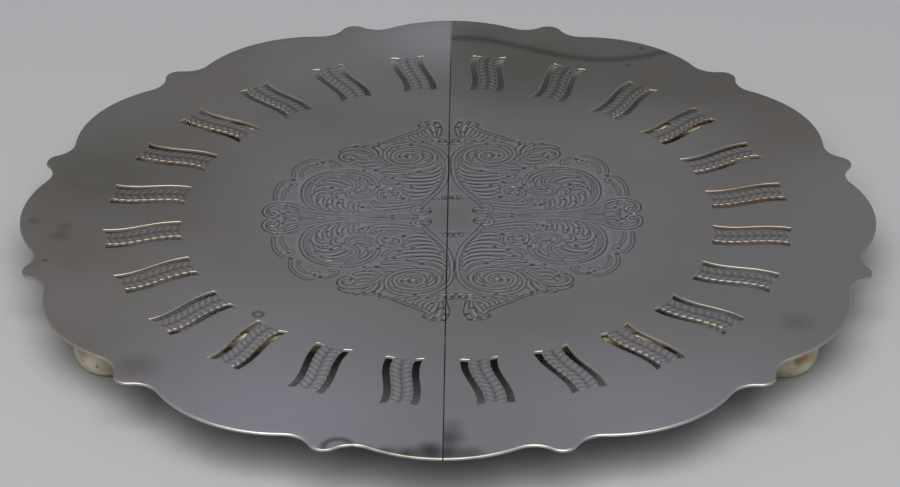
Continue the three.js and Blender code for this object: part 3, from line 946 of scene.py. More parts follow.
@dataclass
class Engraving:
    """Scroll ornament of one quarter of the centre, as a map of levels.

    A level of 0 is the sheet and -1 the bottom of the deepest cut, but for the pits. The other
    three quarters mirror it across the pattern's own two axes, which lie a little askew on the
    sheet. Lengths are in millimetres.
    """

    reach: float = 60.0
    past_axes: float = 2.0
    cell: float = 0.12
    askew: float = math.radians(1.8)
    middle: tuple = (1.3, -0.3)
    ground: float = -0.4
    border_ground: float = -0.12
    stipple: float = 1.5
    stipple_reach: float = 20.0
    stipple_depth: float = 0.3
    leaf_stroke: Stroke = Stroke((0.5, 1.0), 0.6, 0.3)
    border_stroke: Stroke = Stroke((0.5, 1.0), 0.6, 0.25, crown=-0.04, ground=-0.13, cut_depth=0.18)
    lobe_stroke: Stroke = Stroke((0.6, 0.9), crown=-0.02, ground=-0.24, cut_depth=0.36)
    comb_stroke: Stroke = Stroke((0.45, 1.0), 0.75)
    bead_stroke: Stroke = Stroke(cut=0.3)
    roundness: float = 0.7
    least_half: float = 0.02
    cut_offset: float = 0.35
    cut_spread: float = 0.5
    cut_margin: float = 0.4
    vein_spread: tuple = (0.16, 0.05)
    vein_fade: tuple = (0.3, 0.6)
    curling: float = 1.6
    leaf_steps: int = 60
    curve_steps: int = 90
    lobe_steps: int = 120
    field_steps: tuple = (300, 500)
    ribbon_steps: tuple = (60, 6)
    bead_length: float = 0.001
    pit_reach: float = 4.0
    raised_below: float = 0.04
    pit_swell: float = 1.35
    pit_depth: float = 1.6
    softness: float = 0.12
    surroundings: float = 0.8
    grid_x: Array = field(init=False)
    grid_y: Array = field(init=False)
    level: Array = field(init=False)
    stand: Array = field(init=False)

    def __post_init__(self) -> None:
        """Starts with a plain sheet, a little past both axes, so that cuts run over them."""
        self.grid_x = np.arange(-self.past_axes, self.reach, self.cell)
        self.grid_y = np.arange(-self.past_axes, self.reach, self.cell)
        self.level = np.zeros((len(self.grid_y), len(self.grid_x)))

    def near(self, path: Array, reach: float) -> tuple[tuple[slice, slice], Array, Array]:
        """Distance of the cells round a path to it, and the nearest step of the path.

        Args:
            path: Rows of X and Y.
            reach: How far round it cells are looked at.

        Returns:
            The window of cells, their distances and the steps that they are nearest to.
        """
        low, high = path.min(0) - reach, path.max(0) + reach
        i0, i1 = np.searchsorted(self.grid_x, [low[0], high[0]])
        j0, j1 = np.searchsorted(self.grid_y, [low[1], high[1]])
        gx, gy = np.meshgrid(self.grid_x[i0:i1], self.grid_y[j0:j1])
        best = np.full(gx.shape, np.inf)
        where = np.zeros(gx.shape, int)
        batch = 64
        for start in range(0, len(path), batch):
            part = path[start:start + batch]
            apart = np.hypot(gx[..., None] - part[:, 0], gy[..., None] - part[:, 1])
            step = apart.argmin(-1)
            least = np.take_along_axis(apart, step[..., None], -1)[..., 0]
            closer = least < best
            best[closer] = least[closer]
            where[closer] = step[closer] + start
        return (slice(j0, j1), slice(i0, i1)), best, where

    def band(self, path: Array, width: float, stroke: Stroke) -> None:
        """Rounded ribbon with a cut along each edge.

        Its half width runs evenly between those of its ends, times what the belly leaves of
        it, and the belly follows a sine to the power of the roundness. Across it the level
        rises from the ground to the crown as one less the square of the share from its middle,
        to the same power. The cuts are bell curves beside its edges and along its middle, and
        the middle one fades out where the ribbon gets narrow.

        Args:
            path: Rows of X and Y.
            width: Width at its widest.
            stroke: How it is cut.
        """
        t = np.linspace(0, 1, len(path))
        first, last = stroke.ends
        swell = 1 - stroke.belly + stroke.belly * np.sin(math.pi * t) ** self.roundness
        half = width / 2 * (first + (last - first) * t) * swell
        window, apart, step = self.near(path, width / 2 + stroke.cut + self.cut_margin)
        edge = np.maximum(half[step], self.least_half)
        body = np.clip(1 - (apart / edge) ** 2, 0, 1) ** self.roundness
        body = stroke.ground + (stroke.crown - stroke.ground) * body
        beside = apart - edge - stroke.cut * self.cut_offset
        cuts = np.exp(-((beside / (stroke.cut * self.cut_spread)) ** 2))
        value = np.where(apart < edge, body, stroke.ground) - stroke.cut_depth * cuts
        if stroke.vein:
            spread = self.vein_spread[0] * width + self.vein_spread[1]
            shown = fade(edge / (self.vein_fade[0] * width) - self.vein_fade[1])
            value = value - stroke.vein * np.exp(-((apart / spread) ** 2)) * shown
        self.level[window] = np.where(apart < edge + stroke.cut, value, self.level[window])

    def leaf(self, base: tuple, heading: float, length: float, curl: float, width: float) -> None:
        """Comma-shaped leaf, whose heading turns by the curl times a power of the share done.

        Args:
            base: Where it springs from.
            heading: Its first direction in degrees.
            length: Its length.
            curl: How far it bends in all, in degrees.
            width: Its width.
        """
        t = np.linspace(0, 1, self.leaf_steps)
        angle = np.radians(heading + curl * t ** self.curling)[:-1]
        step = length / len(angle)
        path = [start + np.r_[0, np.cumsum(way * step)]
                for start, way in zip(base, (np.cos(angle), np.sin(angle)))]
        self.band(np.column_stack(path), width, self.comb_stroke)

    def sink(self, outline: Array, ground: float, pricked: float) -> None:
        """Lowers what lies inside a closed outline to a ground, pricked with dots near the middle.

        A dot is the sine of a place along X times the sine of a place along Y, where it is
        above 0.

        Args:
            outline: Rows of X and Y.
            ground: Level of the ground.
            pricked: Depth of the dots.
        """
        gx, gy = np.meshgrid(self.grid_x, self.grid_y)
        inside = np.zeros(gx.shape, bool)
        for (x0, y0), (x1, y1) in zip(outline, np.roll(outline, -1, 0)):
            if y0 != y1:
                inside ^= ((y0 > gy) != (y1 > gy)) & (gx < (x1 - x0) * (gy - y0) / (y1 - y0) + x0)
        dots = np.sin(FULL_TURN * gx / self.stipple) * np.sin(FULL_TURN * gy / self.stipple)
        dots = np.clip(dots, 0, 1) * (np.hypot(gx, gy) < self.stipple_reach)
        self.level[inside] = (ground - pricked * dots)[inside]

    def soften(self, level: Array, reach: float) -> Array:
        """Blurs a map of levels.

        Each pass spreads a cell over itself and its neighbours in parts of one, two and one,
        so the square of the reach in cells is half the number of passes.

        Args:
            level: The map.
            reach: How far it is spread, in millimetres.

        Returns:
            The blurred map.
        """
        for _ in range(max(1, round(2 * (reach / self.cell) ** 2))):
            padded = np.pad(level, 1, mode="edge")
            rows = (padded[:-2] + 2 * padded[1:-1] + padded[2:]) / 4
            level = (rows[:, :-2] + 2 * rows[:, 1:-1] + rows[:, 2:]) / 4
        return level

    def carve(self) -> None:
        """Cuts the whole quarter, from what lies lowest to what lies on top.

        A pit is a bell curve. How far a place stands is its level less that of its
        surroundings, and it counts as raised only below the sheet's own level.
        """
        self.sink(flow(BORDER_FIELD, self.field_steps[0]), self.border_ground, 0.0)
        for width, *points in BORDER:
            self.band(flow(points, self.curve_steps), width, self.border_stroke)
        for width, *points in LOBES:
            self.band(flow(points, self.lobe_steps), width, self.lobe_stroke)
        self.sink(flow(SCROLL_FIELD, self.field_steps[1]), self.ground, self.stipple_depth)
        for width, *points in LEAVES:
            self.band(flow(points, self.curve_steps), width, self.leaf_stroke)
        for x, y, radius, start, stop, count, length, lean, curl, width in COMBS:
            for angle in np.linspace(start, stop, count):
                turn = math.radians(angle)
                base = (x + radius * math.cos(turn), y + radius * math.sin(turn))
                self.leaf(base, angle + lean, length, curl, width)
        for width, first, last, vein, *points in RIBBONS:
            path = flow(points, self.ribbon_steps[0] + self.ribbon_steps[1] * len(points))
            self.band(path, width, Stroke((first, last), vein=vein))
        for x, y, radius in BEADS:
            path = np.array([(x, y), (x + self.bead_length, y)])
            self.band(path, 2 * radius, self.bead_stroke)
        for x, y, radius in PITS:
            radius *= self.pit_swell
            window, apart, _ = self.near(np.array([(x, y)]), self.pit_reach * radius)
            pit = -self.pit_depth * np.exp(-(apart / radius) ** 2)
            self.level[window] = np.minimum(self.level[window], pit)
        self.level = self.soften(self.level, self.softness)
        stand = self.level - self.soften(self.level, self.surroundings)
        self.stand = np.where(stand > 0, stand * fade(-self.level / self.raised_below), stand)

    def at(self, x: Array, y: Array) -> tuple[Array, Array]:
        """Looks the ornament up at places of the sheet, blended between the four nearest cells.

        The place is taken from the pattern's middle and turned back by the angle at which the
        pattern lies askew, and its signs are dropped.

        Args:
            x: Place along X.
            y: Place along Y.

        Returns:
            Levels, and how far they stand above their surroundings.
        """
        x, y = x - self.middle[0], y - self.middle[1]
        cos, sin = math.cos(self.askew), math.sin(self.askew)
        column = (np.abs(x * cos + y * sin) - self.grid_x[0]) / self.cell
        row = (np.abs(y * cos - x * sin) - self.grid_y[0]) / self.cell
        i = np.clip(column.astype(int), 0, len(self.grid_x) - 2)
        j = np.clip(row.astype(int), 0, len(self.grid_y) - 2)
        s, t = np.clip(column - i, 0, 1), np.clip(row - j, 0, 1)
        found = []
        for chart in (self.level, self.stand):
            low = chart[j, i] * (1 - s) + chart[j, i + 1] * s
            high = chart[j + 1, i] * (1 - s) + chart[j + 1, i + 1] * s
            found.append(low * (1 - t) + high * t)
        return found[0], found[1]


# ---------------------------------------------------------------------- plate


class Side(Enum):
    """The two halves. The left one is the right one turned half round."""

    LEFT = "left"
    RIGHT = "right"

    @property
    def turned(self) -> bool:
        """Whether this half is the turned one."""
        return self is Side.LEFT


class Row(Enum):
    """The two slides and rows of feet."""

    FRONT = "front"
    REAR = "rear"


@dataclass
class Rim:
    """Outline of the top: lobes, with a small nub and two hollow notches between each two."""

    crest: float
    lobe_radius: float = 37.6
    nub_radius: float = 4.0
    notch_radius: float = 7.7
    lobes: int = 12
    arc_steps: tuple = (6, 9, 12)

    def __post_init__(self) -> None:
        """Finds the notch's circle, which touches those of the nub and the lobe."""
        self.half_pitch = FULL_TURN / self.lobes / 2
        middle = np.array([math.cos(self.half_pitch), math.sin(self.half_pitch)])
        self.nub = np.array([self.crest - self.nub_radius, 0.0])
        self.lobe = (self.crest - self.lobe_radius) * middle
        nub_reach = self.nub_radius + self.notch_radius
        lobe_reach = self.lobe_radius + self.notch_radius
        apart = math.hypot(*(self.lobe - self.nub))
        along = (nub_reach ** 2 - lobe_reach ** 2 + apart ** 2) / (2 * apart)
        way = (self.lobe - self.nub) / apart
        across = np.array([way[1], -way[0]]) * math.sqrt(nub_reach ** 2 - along ** 2)
        self.notch = self.nub + way * along + across
        nub_end = self.nub + (self.notch - self.nub) * self.nub_radius / nub_reach
        notch_end = self.lobe + (self.notch - self.lobe) * self.lobe_radius / lobe_reach
        self.nub_end = math.atan2(nub_end[1], nub_end[0])
        self.notch_end = math.atan2(notch_end[1], notch_end[0])

    def radius(self, angle: Array) -> Array:
        """Distance of the rim from the centre.

        A ray leaves a circle at its centre's share along the ray, plus or minus the root of
        that share squared, less the centre's distance squared, plus the radius squared.

        Args:
            angle: Angles from the X axis.

        Returns:
            Radii in millimetres.
        """
        pitch = 2 * self.half_pitch
        away = np.abs((angle - self.half_pitch + pitch / 2) % pitch - pitch / 2)
        found = np.zeros_like(away)
        for first, last, centre, radius, side in (
            (-1.0, self.nub_end, self.nub, self.nub_radius, 1),
            (self.nub_end, self.notch_end, self.notch, self.notch_radius, -1),
            (self.notch_end, math.inf, self.lobe, self.lobe_radius, 1),
        ):
            share = centre[0] * np.cos(away) + centre[1] * np.sin(away)
            root = np.sqrt(np.maximum(share ** 2 - centre @ centre + radius ** 2, 0))
            found = np.where((away >= first) & (away < last), share + side * root, found)
        return found

    def columns(self) -> Array:
        """Angles round the right half, in even steps over each arc.

        Returns:
            Rising angles from the X axis.
        """
        stops = (0, self.nub_end, self.notch_end, self.half_pitch)
        arcs = [np.linspace(start, stop, steps + 1)[:-1]
                for start, stop, steps in zip(stops, stops[1:], self.arc_steps)]
        quarter = np.concatenate([*arcs, [self.half_pitch]])
        away = np.concatenate([-quarter[:0:-1], quarter])
        nubs = -FULL_TURN / 4 + self.half_pitch * (1 + 2 * np.arange(self.lobes // 2))
        angles = (nubs[:, None] + away[None, :-1]).ravel()
        return np.append(angles, FULL_TURN / 4)


@dataclass(frozen=True)
class Division:
    """How finely one face of the sheet is divided.

    It counts the cells from the middle of the centre to its edge, the faces across a gap, a
    slot and a strip, and the rows inside and outside the slots. The band has the places of
    its rows from the ring, 0, to the rim, 1.
    """

    under: bool
    cells: int
    gap: int
    slot: int
    strip: int
    inner_rows: int
    outer_rows: int
    band: tuple

    @property
    def sector(self) -> int:
        """Faces across a sector, which holds one pair of slots."""
        return 2 * self.gap + 2 * self.slot + self.strip


@dataclass
class Grid:
    """Part of a face of the sheet: its point numbers, and their places before the joint's gap."""

    numbers: Array
    x: Array
    y: Array

    @property
    def angle(self) -> Array:
        """Angles of the points from the X axis."""
        return np.arctan2(self.y, self.x)


@dataclass
class TopHalf:
    """Half of the top: the engraved centre, the ring of pierced pairs and the wavy rim.

    Lengths are in millimetres. The patina fields run from -1, painted bright, partly rubbed silver
    and partly a painted highlight, to 1, dark with oxide, and the wear fields from 0 to 1, bare
    brass.
    """

    side: Side
    finish: Material
    engraving: Engraving
    upper: Division = Division(False, 158, 5, 3, 12, 10, 3, (0, 0.3, 0.55, 0.75, 0.88, 0.95, 1))
    lower: Division = Division(True, 24, 2, 3, 3, 2, 1, (0, 0.5, 1))
    inset: float = 0.09
    centre_radius: float = 58.0
    ring_start: float = 58.8
    ring_end: float = 99.0
    band_start: float = 100.4
    pairs: int = 12
    pair_radius: float = 85.2
    slot_length: float = 21.8
    slot_width: float = 2.7
    slot_spacing: float = 7.5
    slot_swing: float = 1.1
    swing_peak: float = 0.7
    slot_slant: float = 0.4
    slot_tip: float = 0.2
    slot_tip_share: float = 0.75
    slot_corner: float = 0.9
    leaf_count: int = 10
    leaf_rows: int = 6
    leaf_depth: float = 0.35
    leaf_swell: float = 0.8
    leaf_slant: tuple = (0.75, 0.2)
    strip_depth: float = 0.12
    strip_cuts: tuple = (0.75, 0.8, 0.35)
    vein_spread: float = 0.13
    shoulder: tuple = (0.6, 0.4)
    strip_ends: float = 0.05
    # where and how wide the painted highlight lies on each leaf's crown
    highlight_at: float = 0.62
    highlight_spread: float = 0.25
    # tones of the strips: even, oxide in the cuts, and the painted highlight on the leaves' crowns
    strip_tones: tuple = (0.06, 0.7, 0.45)
    relief_depth: float = 0.31
    # gain of the painted brightness on raised relief: partly rubbed silver, partly a painted
    # highlight
    rubbed_and_painted_highlight_gain: float = 2.0
    oxide_gain: float = 3.6
    under_patina: float = 0.5
    wall_round: float = 0.2
    wall_bends: tuple = (32.0, 62.0, 90.0)
    lip_patina: float = 0.05
    lip_wear: float = 0.6
    sawn_depth: float = 0.75
    sawn_patina: float = 0.55
    sawn_wear: float = 0.5
    edge_round: float = 0.45
    edge_steps: int = 4
    edge_drop: float = 0.12
    edge_drop_reach: float = 2.5
    edge_bevel: tuple = ((1.0, 0.78), (0.6, 0.88))
    edge_patina: float = 0.28
    edge_wear: float = 0.3
    joint_share: float = 0.3
    joint_ease: float = 10.0
    long_wave: tuple = (0.05, 23.0, 31.0, 0.7, 27.0, 41.0)
    short_wave: tuple = (0.035, 11.0, 15.0)

    def __post_init__(self) -> None:
        """Takes the sheet's place from the frame."""
        low, high = node_box("right_plate")
        self.top, self.bottom, self.joint = high[2], low[2], low[0]
        self.rim = Rim(high[0])
        self.slot_start = self.pair_radius - self.slot_length / 2
        self.slot_end = self.pair_radius + self.slot_length / 2
        self.skin = Skin()

    def lay(self, x: Array, y: Array, depth: Array | float = 0.0, patina: Array | float = 0.0,
            wear: Array | float = 0.0, under: bool = False) -> Array:
        """Adds points to the sheet.

        The sheet is eased away from the middle plane by a share of the joint's gap there and
        by nothing past the ease. Slow waves from years of use run through it: a long one, a
        sine times a cosine of two slanting ways, and a short one, the sine of a third. Each
        has its height first, then the lengths that its ways are divided by.

        Args:
            x: Place along X, before the joint's gap.
            y: Place along Y.
            depth: How far the points lie inside the face.
            patina: Dark oxide there, or bright silver below 0.
            wear: Wear there.
            under: Whether the face is the lower one.

        Returns:
            The points' numbers.
        """
        moved = x + self.joint * self.joint_share * np.clip(1 - x / self.joint_ease, 0, 1) ** 2
        u, v = (-x, -y) if self.side.turned else (x, y)
        height, a, b, start, c, d = self.long_wave
        wave = height * np.sin(u / a + v / b + start) * np.cos(v / c - u / d)
        height, a, b = self.short_wave
        wave = wave + height * np.sin(u / a - v / b)
        level = self.bottom + self.inset + depth if under else self.top - self.inset - depth
        return self.skin.add(moved, y, level + wave, patina + self.under_patina * under, wear)

    def centre(self, parts: Division) -> tuple[Grid, Array]:
        """Half disc in the middle, engraved on the upper face.

        Args:
            parts: How finely the face is divided.

        Returns:
            Its grid, and the chain of point numbers round its edge.
        """
        u = np.linspace(0, 1, parts.cells + 1)[:, None]
        v = np.linspace(-1, 1, 2 * parts.cells + 1)[None, :]
        x, y = (side * self.centre_radius for side in on_disc(u, v))
        way = -1 if self.side.turned else 1
        level = stand = np.zeros_like(x)
        if not parts.under:
            level, stand = self.engraving.at(way * x, way * y)
        # raised relief painted bright, partly rubbed silver and partly a painted highlight; cuts
        # darkened with oxide
        gain = np.where(stand > 0, self.rubbed_and_painted_highlight_gain, self.oxide_gain)
        patina = np.clip(-gain * stand, -1, 1)
        grid = self.lay(x, y, -level * self.relief_depth, patina, under=parts.under)
        self.skin.cover(grid, flip=parts.under)
        return Grid(grid, x, y), np.concatenate([grid[:, 0], grid[-1, 1:-1], grid[::-1, -1]])

    def slot_turn(self, along: Array, edge: int) -> Array:
        """How far an edge of the slots leaves its even course.

        At one of its ends it turns out to a point, in proportion to what is past the share
        where the point starts. At the other end it turns in, round a corner: by the corner's
        radius times one less the root of one less the square of the share of the corner done.

        Args:
            along: Shares along the pair, from -1 to 1.
            edge: 1 for the edges that point outward at the inner end, -1 for the others.

        Returns:
            Distances, positive counter-clockwise.
        """
        reach = np.clip((-edge * along - self.slot_tip_share) / (1 - self.slot_tip_share), 0, 1)
        left = np.clip((1 - edge * along) * self.slot_length / 2 / self.slot_corner, 0, 1)
        corner = self.slot_corner * (1 - np.sqrt(1 - (1 - left) ** 2))
        return edge * (self.slot_tip * reach - corner)

    def ring_places(self, parts: Division, rows: Array) -> tuple[Array, Array]:
        """Places of a ring grid whose columns follow the slots.

        Within a sector a point is a reach along the pair's middle line and a distance across
        it. The distance is the column's own, plus the slot's swing times the sine of the share
        along the pair. The strip's edges swell between the slots' leaves by a power of the
        sine of their phase. Over the last third of the pair's half length the rows slant
        across the slots. Towards the ring's two edges they settle to circles. Between a slot
        and the sector's edge, angle and radius are blended evenly.

        Args:
            parts: How finely the face is divided.
            rows: Radii of the rows.

        Returns:
            X and Y.
        """
        inner = (self.slot_spacing - self.slot_width) / 2
        outer = (self.slot_spacing + self.slot_width) / 2
        half_pitch = math.pi / 2 / self.pairs
        plain = rows[:, None]
        along = (rows - self.pair_radius) / (self.slot_length / 2)
        limit = 2 * self.swing_peak
        swing = self.slot_swing * np.sin(np.clip(along, -limit, limit) * math.pi / limit)
        leaf = np.abs(np.sin(math.pi * self.leaf_count * (along + 1) / 2)) ** self.leaf_swell
        edge = inner + (np.where(np.abs(along) <= 1 + TINY, leaf, 0) * self.leaf_depth)[:, None]
        point, corner = (self.slot_turn(along, way)[:, None] for way in (1, -1))
        cuts = [corner - outer, point - edge, corner + edge, point + outer]
        spans = [start + (end - start) * np.linspace(0, 1, faces + 1) for start, end, faces
                 in zip(cuts, cuts[1:], (parts.slot, parts.strip, parts.slot))]
        across = np.hstack([spans[0], spans[1][:, 1:-1], spans[2]])
        settle = np.where(along < 0, fade((rows - rows[0]) / (self.slot_start - rows[0])),
                          fade((rows[-1] - rows) / (rows[-1] - self.slot_end)))[:, None]
        slant = self.slot_slant * np.sign(along)[:, None]
        slant = slant * fade(np.abs(along)[:, None] * 3 - 2) * settle
        off = (np.abs(across) - self.slot_spacing / 2) / (self.slot_width / 2)
        reach = plain + slant * np.clip(off, -1, 1)
        reach = reach * settle + np.sqrt(plain ** 2 - across ** 2) * (1 - settle)
        across = across + swing[:, None]
        radius = np.where(settle == 0, plain, np.hypot(reach, across))
        angle = np.arctan2(across, reach)
        share = np.linspace(0, 1, parts.gap + 1)[:-1]
        radius = np.hstack([plain + (radius[:, :1] - plain) * share, radius,
                            plain + (radius[:, -1:] - plain) * share[::-1]])
        angle = np.hstack([-half_pitch + (angle[:, :1] + half_pitch) * share, angle,
                           half_pitch + (angle[:, -1:] - half_pitch) * share[::-1]])
        middles = -FULL_TURN / 4 + half_pitch * (2 * np.arange(self.pairs) + 1)
        turned = (middles[None, :, None] + angle[:, None, :-1]).reshape(len(rows), -1)
        radius = np.hstack([np.tile(radius[:, :-1], (1, self.pairs)), radius[:, -1:]])
        turned = np.hstack([turned, middles[-1] + angle[:, -1:]])
        return radius * np.cos(turned), radius * np.sin(turned)

    def strip_level(self, across: Array, along: Array) -> tuple[Array, Array]:
        """Level and tone of the leaves chased on a strip.

        Slanting cuts part the leaves where the sine of the leaf's phase is small, and one cut
        runs along the middle. The phase grows along the strip and with the distance from its
        middle. Each leaf is painted bright near its outer end, by the square of that sine: a
        painted highlight on its crown.

        Args:
            across: Share from the strip's middle to its edge, with a sign.
            along: Share along the pair, from -1 to 1.

        Returns:
            Levels from -1 to 0, and patina, which goes below 0 for the painted highlights.
        """
        off = np.abs(across)
        slant = self.leaf_slant[0] - self.leaf_slant[1] * across
        phase = self.leaf_count * (along + 1) / 2 - slant * (1 - off)
        body = np.abs(np.sin(math.pi * phase))
        vein = np.exp(-((across / self.vein_spread) ** 2))
        edge = fade((off - self.shoulder[0]) / self.shoulder[1])
        ends = fade((1 - np.abs(along)) / self.strip_ends)
        cuts = zip(self.strip_cuts, ((1 - body) ** 2, vein, edge))
        level = -np.clip(sum(share * cut for share, cut in cuts), 0, 1) * ends
        # painted highlight on each leaf's crown near its outer end
        painted_crown_highlight = body ** 2 * np.exp(-(((off - self.highlight_at) / self.highlight_spread) ** 2))
        even, dark, bright = self.strip_tones
        return level, ends * (even - dark * level - bright * painted_crown_highlight)

    def ring(self, parts: Division) -> Grid:
        """Ring of pierced pairs, with the slots left open.

        Args:
            parts: How finely the face is divided.

        Returns:
            Its grid.
        """
        slot_rows = self.leaf_count * self.leaf_rows
        rows = np.concatenate([
            np.linspace(self.ring_start, self.slot_start, parts.inner_rows + 1)[:-1],
            np.linspace(self.slot_start, self.slot_end, slot_rows + 1),
            np.linspace(self.slot_end, self.ring_end, parts.outer_rows + 1)[1:],
        ])
        x, y = self.ring_places(parts, rows)
        column = np.arange(self.pairs * parts.sector + 1) % parts.sector
        across = ((column - parts.gap - parts.slot) / (parts.strip / 2) - 1)[None, :]
        along = ((rows - self.pair_radius) / (self.slot_length / 2))[:, None]
        on_strip = (np.abs(across) <= 1) & (np.abs(along) <= 1) & (not parts.under)
        chased = self.strip_level(np.clip(across, -1, 1), np.clip(along, -1, 1))
        level, patina = (values * on_strip for values in chased)
        numbers = self.lay(x, y, -level * self.strip_depth, patina, under=parts.under)
        keep = np.ones((len(rows) - 1, len(column) - 1), bool)
        inward = np.minimum(column, parts.sector - 1 - column)[:-1]
        opened = (inward >= parts.gap) & (inward < parts.gap + parts.slot)
        keep[parts.inner_rows:parts.inner_rows + slot_rows, opened] = False
        self.skin.cover(numbers, keep, flip=parts.under)
        return Grid(numbers, x, y)

    def slot_loop(self, values: Array, parts: Division, pair: int, second: int) -> Array:
        """Values of the ring's grid round a slot, with the opening on the right of the way.

        Args:
            values: Point numbers or places of the ring.
            parts: How finely the face is divided.
            pair: Number of the pair.
            second: 0 for the first slot of the pair, 1 for the second.

        Returns:
            The values in a loop.
        """
        row = parts.inner_rows
        column = pair * parts.sector + parts.gap + second * (parts.slot + parts.strip)
        block = values[row:row + self.leaf_count * self.leaf_rows + 1,
                       column:column + parts.slot + 1]
        return np.concatenate([block[0], block[1:, -1], block[-1, -2::-1], block[-2:0:-1, 0]])

    def slot_walls(self, upper: Grid, lower: Grid) -> None:
        """Sawn walls of the slots, a little rounded and worn to the brass at their upper edge.

        Args:
            upper: The ring's upper face.
            lower: The ring's lower face.
        """
        bend = np.radians(self.wall_bends)[:, None]
        depth = self.wall_round * (1 - np.cos(bend))
        for slot in np.ndindex(self.pairs, 2):
            edge, x, y = (self.slot_loop(values, self.upper, *slot)
                          for values in (upper.numbers, upper.x, upper.y))
            way = np.stack([np.roll(x, -1) - np.roll(x, 1), np.roll(y, -1) - np.roll(y, 1)])
            way = way / np.hypot(*way) * self.wall_round
            rolled = self.lay(x + np.sin(bend) * way[1], y - np.sin(bend) * way[0], depth,
                              self.lip_patina * np.sin(bend), self.lip_wear * np.sin(bend))
            sawn = self.lay(x + way[1], y - way[0], self.sawn_depth, self.sawn_patina,
                            self.sawn_wear)
            foot = self.slot_loop(lower.numbers, self.lower, *slot)
            self.skin.cover(np.vstack([edge, rolled, sawn, foot]), closed=True)

    def rim_band(self, angles: Array, parts: Division) -> Grid:
        """Band between the ring and the rim, whose upper face drops a little near the rim.

        Args:
            angles: Angles of its columns.
            parts: How finely the face is divided.

        Returns:
            Its grid.
        """
        lip = self.rim.radius(angles) - self.edge_round
        radius = self.band_start + (lip - self.band_start) * np.array(parts.band)[:, None]
        x, y = radius * np.cos(angles), radius * np.sin(angles)
        drop = fade((radius - lip + self.edge_drop_reach) / self.edge_drop_reach)
        drop = self.edge_drop * drop * (not parts.under)
        numbers = self.lay(x, y, drop, under=parts.under)
        self.skin.cover(numbers, flip=parts.under)
        return Grid(numbers, x, y)

    def edge(self, angles: Array, upper: Grid, lower: Grid) -> Array:
        """Rounded edge of the rim: a quarter round, a short wall and a small bevel.

        Args:
            angles: Angles of its columns.
            upper: The rim band's upper face.
            lower: The rim band's lower face.

        Returns:
            Point numbers in rows from the upper face to the lower one.
        """
        lip = self.rim.radius(angles) - self.edge_round
        bend = np.linspace(0, math.pi / 2, self.edge_steps + 1)[1:]
        shares, depths = np.transpose(self.edge_bevel)
        reach = self.edge_round * np.concatenate([np.sin(bend), shares])[:, None]
        depth = self.edge_drop + self.edge_round * (1 - np.cos(bend))
        depth = np.concatenate([depth, depths])[:, None]
        x, y = (lip + reach) * np.cos(angles), (lip + reach) * np.sin(angles)
        rows = self.lay(x, y, depth, self.edge_patina, self.edge_wear)
        rows = np.vstack([upper.numbers[-1:], rows, lower.numbers[-1:]])
        self.skin.cover(rows)
        return rows

    def joint_wall(self, upper: list[Grid], lower: list[Grid], edge: Array) -> None:
        """Flat wall along the joint.

        Args:
            upper: Centre, ring and rim band of the upper face.
            lower: The same of the lower face.
            edge: The rim's edge.
        """
        chains = []
        for face in (lower, upper):
            for c, r, b in ([grid.numbers for grid in face], [grid.y for grid in face]):
                chains.append(np.concatenate([b[::-1, 0], r[::-1, 0], c[0], r[:, -1], b[:, -1]]))
        self.skin.lace(*chains)
        self.skin.faces += [edge[::-1, 0][None], edge[:, -1][None]]

    def build(self) -> None:
        """Makes the half, which rides on its body and stands for the plate's node."""
        angles = self.rim.columns()
        faces = []
        for parts in (self.upper, self.lower):
            centre, chain = self.centre(parts)
            ring = self.ring(parts)
            band = self.rim_band(angles, parts)
            chain_at = np.linspace(-FULL_TURN / 4, FULL_TURN / 4, len(chain))
            for join in ([chain, chain_at, ring.numbers[0], ring.angle[0]],
                         [ring.numbers[-1], ring.angle[-1], band.numbers[0], angles]):
                self.skin.lace(*(join[2:] + join[:2] if parts.under else join))
            faces.append([centre, ring, band])
        edge = self.edge(angles, faces[0][2], faces[1][2])
        self.slot_walls(faces[0][1], faces[1][1])
        self.joint_wall(faces[0], faces[1], edge)
        name = self.side.value
        show(self.skin, f"{name}_pierced_sheet", self.finish, f"{name}_half", f"{name}_plate",
             "silver_plate", self.side.turned)


# --------------------------------------------------------------------- slides


